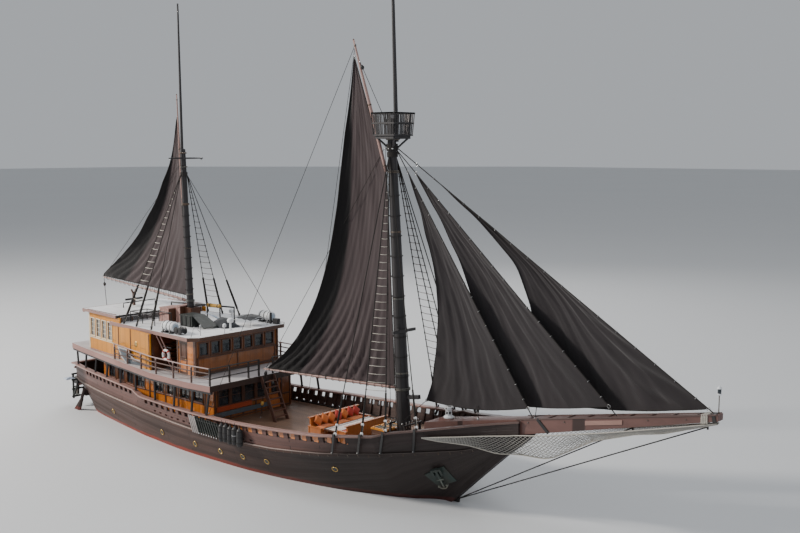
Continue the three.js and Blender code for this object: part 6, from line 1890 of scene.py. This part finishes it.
# anchors hanging at the hawse on their worn plates; starboard and port mirror each other
anchorForm = {"place": (15.1, 0.85, 1.3), "out": (0.43, 0.78, -0.46), "up": (-0.1, 0.45, 0.88),
              "links": 9, "pitch": 0.075}


def buildAnchors():
    f = anchorForm
    shape = Shape("anchorIron", "black", "anchorPlate")
    for side in (-1, 1):
        mirror = lambda v: Vector((v[0], v[1] * side, v[2]))
        out, up = mirror(f["out"]).normalized(), mirror(f["up"])
        up = (up - out * up.dot(out)).normalized()
        across = up.cross(out)
        at = lambda u, v, n: mirror(f["place"]) + across * u * 0.66 + up * (v * 0.62 - 0.1) + out * n
        shape.tube([at(0, 0.3, 0.16), at(0, 0.0, 0.17), at(0, -0.35, 0.18), at(0, -0.62, 0.18)],
                   [0.028, 0.034, 0.038, 0.045], 10, 0)
        arc = [at(math.sin(t) * 0.34, -0.32 - math.cos(t) * 0.32,
                  0.19) for t in (-1.25 + 2.5 * k / 12 for k in range(13))]
        shape.tube(arc, [0.02 + 0.02 * math.sin(math.pi * k / 12) for k in range(13)], 10, 0)
        for turn in (-1, 1):  # palms
            shape.prism([at(turn * 0.34, -0.26, 0.16), at(turn * 0.2, -0.34, 0.16),
                         at(turn * 0.27, -0.46, 0.16), at(turn * 0.4, -0.4, 0.16)], out * 0.07, 0)
        shape.tube([at(-0.25, 0.2, 0.17), at(0, 0.22, 0.17), at(0.25, 0.2, 0.17)], 0.028, 8, 0)
        ring = circle(Vector((0, 0.37)), Vector((1, 0)), Vector((0, 1)), 0.075, 16)
        shape.tube([at(p.x, p.y, 0.15) for p in ring], 0.02, 6, 0, True)
        for k in range(f["links"]):  # chain up to the hawse
            centre = at(0.0, 0.48 + k * f["pitch"], 0.12 - 0.014 * k)
            first, second = (up, across) if k % 2 else (up, out)
            shape.tube(circle(centre, first * 0.05, second * 0.03, 1, 10), 0.012, 5, 0, True)
    shape.make("anchorFittings")


buildAnchors()


# cushions: a crowned form is puffed up by the cloth solver, then set in its places
padForm = {"voxel": 0.007, "pressure": 4.0, "frames": 20, "cap": 0.014, "corner": 4.0,
           "rows": 22, "draw": 0.06}


def pillowMesh(name, wide, long, thick):
    corner, rows, draw = padForm["corner"], padForm["rows"], padForm["draw"]

    def crown(u, v):
        return (1 - abs(u) ** 3) ** 0.55 * (1 - abs(v) ** 3) ** 0.55

    points, faces = [], []
    for face in (-1, 1):
        for j in range(rows + 1):
            for i in range(rows + 1):
                u, v = i / rows * 2 - 1, j / rows * 2 - 1
                x = u * wide / 2 * (1 - draw * (1 - v * v) * abs(u) ** corner)
                y = v * long / 2 * (1 - draw * (1 - u * u) * abs(v) ** corner)
                points.append(Vector((x, y, face * thick / 2 * crown(u, v))) * half)
        base = (rows + 1) ** 2 * (face > 0)
        for j in range(rows):
            for i in range(rows):
                k = base + j * (rows + 1) + i
                quad = (k, k + 1, k + rows + 2, k + rows + 1)
                faces.append(quad if face > 0 else quad[::-1])
    mesh = bpy.data.meshes.new(name)
    mesh.from_pydata(points, [], faces)
    bm = bmesh.new()
    bm.from_mesh(mesh)
    bmesh.ops.remove_doubles(bm, verts=bm.verts, dist=1e-5)
    bm.to_mesh(mesh)
    bm.free()
    return mesh


def puffed(name, wide, long, thick):
    source = linked(name, pillowMesh(name, wide, long, thick))
    remesh = source.modifiers.new("evenMesh", "REMESH")
    remesh.mode, remesh.voxel_size = "VOXEL", padForm["voxel"]
    bpy.context.view_layer.update()
    even = bpy.data.meshes.new_from_object(source.evaluated_get(bpy.context.evaluated_depsgraph_get()))
    bpy.data.objects.remove(source)
    pad = linked(name + "Sim", even)
    cloth = pad.modifiers.new("puff", "CLOTH")
    cloth.settings.use_pressure = True
    cloth.settings.uniform_pressure_force = padForm["pressure"]
    cloth.settings.effector_weights.gravity = 0
    cloth.point_cache.frame_start, cloth.point_cache.frame_end = 1, padForm["frames"]
    start = [v.co.copy() for v in even.vertices]
    for step in range(1, padForm["frames"] + 1):
        bpy.context.scene.frame_set(step)
    moved = [v.co.copy() for v in pad.evaluated_get(bpy.context.evaluated_depsgraph_get()).data.vertices]
    pad.modifiers.remove(cloth)
    bpy.context.scene.frame_set(1)
    for vertex, a, b in zip(even.vertices, start, moved):
        shift = b - a
        if shift.length > padForm["cap"]:
            shift = shift.normalized() * padForm["cap"]
        vertex.co = a + shift
    bpy.data.objects.remove(pad)
    return even


# sets one copy of a cushion in its place and returns the line of its piping
def setPad(name, base, place, look, piping, hides=None):
    mesh = base.copy()
    mesh.name = name
    for vertex in mesh.vertices:
        vertex.co = place @ vertex.co
    mesh.materials.clear()
    mesh.materials.append(mats[look])
    mesh.polygons.foreach_set("use_smooth", [True] * len(mesh.polygons))
    pad = linked(name, mesh)
    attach(pad, "hull")
    if hides:
        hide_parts(hides)
    tree = BVHTree.FromPolygons([v.co for v in mesh.vertices], [p.vertices[:] for p in mesh.polygons])
    wide, long = piping
    outline = []
    for p in circle(Vector((0, 0)), Vector((1, 0)), Vector((0, 1)), 1, 48):
        u, v = (math.copysign(abs(w) ** 0.45, w) for w in p)
        near = tree.find_nearest(place @ (Vector((u * wide * 0.56, v * long * 0.56, 0)) * half))[0]
        outline.append(near / half)
    return outline


cushionRows = {
    "sofaPad": {"size": (0.74, 1.1, 0.2), "x": 7.55, "y": (-0.93, 0.2, 1.33), "z": 2.335, "look": "cushion"},
    "benchPad": {"size": (0.46, 0.9, 0.16), "x": 9.36, "y": (-1.08, -0.13, 0.82), "z": 2.475,
                 "look": "redCushion"},
}


def buildCushions():
    rim = Shape("seam")
    for name, row in cushionRows.items():
        base = puffed(name, *row["size"])
        for k, y in enumerate(row["y"], 1):
            place = Matrix.Translation(Vector((row["x"], y, row["z"])) * half)
            hides = "sofa_cushions" if name == "sofaPad" and k == 1 else None
            rim.tube(setPad("%s%d" % (name, k), base, place, row["look"], row["size"][:2], hides),
                     0.012, 5, 0, True)
    square = puffed("backCushion", 0.46, 0.46, 0.2)
    for k, y in enumerate((-1.18, -0.72, -0.24, 0.24, 0.7, 1.14, 1.56)):
        lean = Matrix.Rotation(math.radians(62 + 5 * (k % 3)), 4,
                               "Y") @ Matrix.Rotation(math.radians(45 + 9 * (k % 2)), 4, "Z")
        place = Matrix.Translation(Vector((7.3, y, 2.7 + 0.015 * (k % 2))) * half) @ lean
        look = "redCushion" if k in (3, 5, 6) else "cushion"
        rim.tube(setPad("backCushion%d" % (k + 1), square, place, look, (0.46, 0.46)), 0.01, 5, 0, True)
    rim.make("cushionPiping")


buildCushions()


seatForm = {
    "sofa": {"x": (7.0, 7.95), "y": (-1.6, 2.0), "seat": 2.25, "top": 2.86, "back": 7.05, "front": 7.95},
    "bench": {"x": (9.1, 9.75), "y": (-1.65, 1.4), "seat": 2.4, "top": 2.86, "back": 9.7, "front": 9.1},
}


# trim of the sofa, bench, table and hatch, and what stands before the house
def buildDeckTrim():
    shape = Shape("varnish", "dark", "cream", "black", "brass", "redBoard", "slate", "paleRope")
    for row in seatForm.values():
        (x0, x1), (y0, y1), seat, top, back, front = row.values()
        for y in (y0, y1):
            out = -1 if y < 0 else 1
            for a, b in ((x0 + 0.02, x0 + 0.1), (x1 - 0.1, x1 - 0.02)):
                shape.box((a, min(y, y + out * 0.02), 1.85), (b, max(y, y + out * 0.02), seat + 0.17), 0)
            shape.bar((x0, y - out * 0.05, seat + 0.2), (x1, y - out * 0.05, seat + 0.2), 0.15, 0.05, 0)
        shape.bar((back, y0, top + 0.02), (back, y1, top + 0.02), 0.15, 0.05, 0)
        for k in range(5):
            y = lerp(y0 + 0.1, y1 - 0.1, k / 4)
            shape.box((front - 0.015, y - 0.05, 1.95), (front + 0.015, y + 0.05, seat), 0)
        shape.bar((front, y0, seat - 0.03), (front, y1, seat - 0.03), 0.04, 0.08, 0)
    for y in (-1.5, 1.7):
        shape.bar((8.05, y, 2.45), (8.95, y, 2.45), 0.03, 0.08, 1)
    for x in (8.05, 8.95):
        shape.bar((x, -1.5, 2.45), (x, 1.7, 2.45), 0.03, 0.08, 1)
    for x, y in ((11.05, -0.76), (11.05, 0.56), (10.59, -0.1)):
        along = (1, 0, 0) if abs(y) > 0.5 else (0, 1, 0)
        for lift in (2.3, 2.55):
            at, reach = Vector((x, y, lift)), Vector(along) * 0.4
            shape.bar(at - reach, at + reach, 0.03, 0.06, 1)
    # a blank red board, a slate band and a low chest before the house
    shape.box((0.955, -2.62, 2.3), (0.985, -0.2, 2.56), 5)
    shape.box((0.93, -2.66, 2.0), (0.99, 1.0, 2.24), 6)
    shape.box((1.05, -3.3, 1.78), (1.75, -2.75, 2.2), 0)
    shape.box((1.02, -3.33, 2.2), (1.78, -2.72, 2.26), 3)
    shape.make("deckTrim", bevel=0.003)
    panes = Shape("yellow", "glass", "brass")
    top = 2.85
    for y0, y1 in ((-0.68, -0.16), (-0.04, 0.48)):
        panes.box((10.68, y0, top), (11.42, y1, top + 0.012), 1)
        for a, b in (((10.62, y0 - 0.05, top), (11.48, y0, top + 0.03)),
                     ((10.62, y1, top), (11.48, y1 + 0.05, top + 0.03)),
                     ((10.6, y0, top), (10.68, y1, top + 0.03)), ((11.42, y0, top), (11.5, y1, top + 0.03))):
            panes.box(a, b, 0)
        for k in range(3):
            x = 10.86 + 0.19 * k
            panes.bar((x, y0, top + 0.02), (x, y1, top + 0.02), 0.02, 0.02, 2)
    panes.make("hatchPanes", "hatch", bevel=0.002)


buildDeckTrim()
print("deck furniture finished")


# blank curved board on the upper railing, and the life ring on its rack
def buildRailBoards():
    shape = Shape("paleBoard", "slate", "white", "redCushion", "black")
    y = -3.4
    outline = [(-7.1, 5.02), (-5.98, 4.96), (-5.82, 4.66), (-5.4, 4.5), (-3.7, 4.46), (-3.7, 4.1),
               (-5.6, 4.02), (-6.2, 4.1), (-6.75, 4.42)]
    shape.prism([(x, y, z) for x, z in outline], (0, -0.04, 0), 0)
    shape.bar((-5.7, y - 0.05, 4.25), (-3.78, y - 0.05, 4.29), 0.17, 0.03, 1, (0, 1, 0))
    shape.prism([(x, y - 0.04, z) for x, z in ((-6.9, 4.93), (-6.08, 4.88), (-5.95, 4.6),
                                               (-5.62, 4.38), (-5.7, 4.15),
                                               (-6.2, 4.2), (-6.62, 4.5))], (0, -0.015, 0), 1)
    centre, radius = Vector((-2.9, -3.05, 5.0)), 0.27
    shape.tube(circle(centre, toX, toZ, radius, 28), 0.075, 12, 2, True)
    band = [(0.08, 0), (0.083, 0.005), (0.083, 0.095), (0.08, 0.1)]
    for k in range(4):
        t = math.pi / 4 + k * math.pi / 2
        out, way = Vector((math.cos(t), 0, math.sin(t))), Vector((-math.sin(t), 0, math.cos(t)))
        shape.turned(centre + out * radius - way * 0.05, way, band, 12, 3)
    shape.bar((-2.9, -3.05, 5.2), (-2.9, -3.05, 5.45), 0.03, 0.03, 4)
    shape.bar((-3.35, -3.05, 5.45), (-2.4, -3.05, 5.45), 0.05, 0.05, 4)
    shape.make("railBoards", bevel=0.003)


buildRailBoards()


# stern: boarded transom, a dark bracket with an outboard motor and a small folded tarpaulin
def buildStern():
    shape = Shape("bulwark", "tarred", "steel", "black", "cap", "iron", "varnish", "glass")
    x = -14.02
    for k in range(7):
        y = -1.8 + k * 0.6
        shape.bar((x, y, 1.5), (x, y, 2.55), 0.06, 0.07, 0, (1, 0, 0))
    for z, reach in ((1.45, 2.0), (2.6, 2.15)):
        shape.bar((x, -reach, z), (x, reach, z), 0.07, 0.12, 4)
    for y in (-0.9, 0.9):  # two small stern windows
        framedPane(shape, (x - 0.005, y, 2.05), (0, 1, 0), (-1, 0, 0), 0.5, 0.5, 0.07, 0.02,
                   (4, 7, 4), (1, 0))
    for y in (-2.0, -1.1, -0.2):  # bracket of tarred timbers
        shape.bar((-13.95, y, 1.5), (-14.5, y, 0.55), 0.1, 0.12, 1)
        shape.bar((-14.45, y, 0.5), (-14.45, y, 2.1), 0.1, 0.1, 1, (1, 0, 0))
    for z in (0.62, 1.1, 1.7, 2.08):
        shape.bar((-14.45, -2.1, z), (-14.45, -0.1, z), 0.08, 0.1, 1)
    shape.bar((-14.52, -1.95, 1.26), (-14.52, -0.95, 0.92), 0.07, 0.09, 2)
    motor = Vector((-14.62, -1.55, 1.35))
    plan = ((-0.24, -0.15), (0.16, -0.15), (0.16, 0.15), (-0.24, 0.15))
    rows = ((0.0, 0.7, 0.75), (0.08, 1.0, 1.0), (0.34, 1.0, 1.0), (0.46, 0.85, 0.8), (0.52, 0.5, 0.5))
    shape.loft([[motor + Vector((dx * wide, dy * deep, dz)) for dx, dy in plan] for dz, wide,
                deep in rows], 3, True)
    shape.bar(motor + Vector((-0.04, 0, 0.05)), motor + Vector((-0.08, 0, -0.75)), 0.16, 0.12, 5)
    shape.turned(motor + Vector((-0.28, 0, -0.72)), (1, 0, 0),
                 [(0.02, 0), (0.06, 0.08), (0.07, 0.2), (0.06, 0.34), (0.02, 0.42)], 14, 5)
    hub = motor + Vector((-0.22, 0, -0.72))
    for tip in circle(hub, toY, toZ, 0.15, 3):
        shape.bar(hub, tip, 0.1, 0.02, 5, (1, 0, 0.4))
    shape.bar(motor + Vector((0.14, -0.04, 0.2)), motor + Vector((0.2, 0.32, 0.3)), 0.04, 0.04, 3)
    shape.make("sternGear", bevel=0.004)


buildStern()
coverSheet("sternTarp", [(-14.68, -2.6, 1.86), (-14.22, -2.6, 1.82), (-14.22, -1.98, 1.8),
                         (-14.68, -1.98, 1.84)], 0.1, "tarp")


# running rigging: a line given to a rig turns with it; a line joined down to the deck stays as it is drawn
def rigLine(name, points, radius, body="hull", joined=None, blocks=()):
    shape = Shape("rope", "ochre", "black", "steel")
    shape.tube(points, radius, 6, 0)
    for t, kind in blocks:
        a, b = Vector(points[0]), Vector(points[-1])
        at, along = a.lerp(b, t), (b - a).normalized()
        block = [(0.02, 0), (0.075, 0.05), (0.095, 0.13), (0.075, 0.21), (0.02, 0.26)]
        shape.turned(at - along * 0.13, along, block, 12, kind)
    for end in (points[0], points[-1]):
        shackle = [(0.02, 0), (0.045, 0.02), (0.045, 0.06), (0.02, 0.08)]
        shape.turned(Vector(end) - toZ * 0.04, toZ, shackle, 10, 3)
    piece = shape.make(name, None if joined else body)
    if joined:
        tuple(Vector(points[0]) * half)
        tuple(Vector(points[-1]) * half)
        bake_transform(piece)


def evenly(a, b, count=14):
    return [Vector(a).lerp(Vector(b), k / count) for k in range(count + 1)]


def buildRigging():
    tip, peak = mainSwing @ Vector((2.85, 0, 4.6)), mainSwing @ Vector((9.05, 0, 21.4))
    rigLine("mainSheet", evenly((2.2, tip.y * 0.8, 1.86), tip), 0.02, joined="main_rig",
            blocks=((0.3, 1), (0.93, 2)))
    rigLine("mainVangStarboard", evenly((1.55, -3.62, 2.55), peak, 24), 0.012, joined="main_rig")
    rigLine("mainVangPort", evenly((1.55, 3.62, 2.55), peak, 24), 0.012, joined="main_rig")
    rigLine("mainTopLift", evenly(mastAt(mainMast, 16.72) - toX * 0.26, tip + toZ * 0.12), 0.012, "main_rig")
    rigLine("peakHalyard", evenly(mastAt(mainMast, 17.5) - toX * 0.24,
                                  mainSwing @ Vector((9.35, 0, 20.55)), 4),
            0.014, "main_rig", blocks=((0.08, 2), (0.92, 2)))
    rear = Vector((-13.68, 0, 8.16))
    rigLine("mizzenSheet", evenly((-13.6, 0.25, 4.12), rear), 0.018, joined="mizzen_rig",
            blocks=((0.25, 2), (0.9, 2)))
    rigLine("mizzenTopLift", evenly(mastAt(mizzenMast, 15.6) - toX * 0.2, rear + toZ * 0.12),
            0.011, "mizzen_rig")
    rigLine("mizzenStay", evenly((-0.62, 2.66, 6.96),
                                 mastAt(mizzenMast, 14.9) + Vector((0.15, 0.1, 0))), 0.014)
    for name, foot in (("inner", (12.95, -1.55, 3.42)), ("middle", (16.9, -0.45, 4.3)),
                       ("outer", (19.9, -0.36, 4.86))):
        clew = sails[name + "_jib"]["grid"][sailGrid["across"]]
        rigLine(name + "JibSheet", evenly(foot, clew, 6), 0.016)
    for x in (0.0, 0.24, -0.22):  # halyards down the main mast to the pins
        rigLine("halyard%d" % round(50 + x * 100), evenly((mastAt(mainMast, 3.3).x + x * 1.6, -0.55, 3.3),
                                                         mastAt(mainMast,
                                                                16.4) + Vector((x, -0.24, 0)), 8), 0.011)


buildRigging()
print("running rigging rove")


def finishScene():
    print("scene finished")


floorMesh = bpy.data.meshes.new("floor")
floorMesh.from_pydata([(-400, -400, 0), (400, -400, 0), (400, 400, 0), (-400, 400, 0)], [], [(0, 1, 2, 3)])
floorMesh.materials.append(floorMat)
floor = linked("floor", floorMesh)

# finishes for the nodes of the solid model that stay as they are
nodeLooks = {
    "keel_and_stem": "keel", "main_deck": "deck", "bowsprit": "bowsprit", "bow_net": "net",
    "bobstays": "rope",
    "anchor_starboard": "anchorPlate", "anchor_port": "anchorPlate", "windlass_drum": "white",
    "sofa": "varnish",
    "sofa_cushions": "cushion", "deck_table": "table", "bench": "varnish", "hatch_coaming": "dark",
    "hatch_lid": "yellow", "upper_deck": "upperDeck", "lower_house_starboard": "varnishX",
    "lower_house_port": "varnishX",
    # painted shade: the lower house front and the wheelhouse front take the shaded copy of the varnish
    "lower_house_front": "varnishShadedFront", "lower_house_aft": "varnishY", "saloon_door": "varnish",
    "veranda_posts_starboard": "spar", "veranda_posts_port": "spar", "upper_railing_starboard": "railing",
    "upper_railing_port": "railing", "stairs": "tread", "wheelhouse_roof": "roof",
    "wheelhouse_front": "varnishShadedFront",
    "wheelhouse_side_starboard": "varnishX", "wheelhouse_side_port": "varnishX", "wheelhouse_door": "dark",
    "cabin_side_starboard": "yellow", "cabin_side_port": "yellow", "cabin_aft": "yellow",
    "cabin_roof": "roof",
    "life_raft_starboard": "white", "life_raft_port": "white", "crows_nest": "spar", "main_shrouds": "rope",
    "mizzen_shrouds": "rope", "forestays": "rope", "stern_beam": "keel", "rudder_starboard": "keel",
    "rudder_port": "keel", "propeller": "brass",
}
for name, look in nodeLooks.items():
    piece = frame["nodes"][name]
    piece = bpy.data.objects[piece] if isinstance(piece, str) else piece
    piece.data.materials.clear()
    piece.data.materials.append(mats[look])

finishScene()
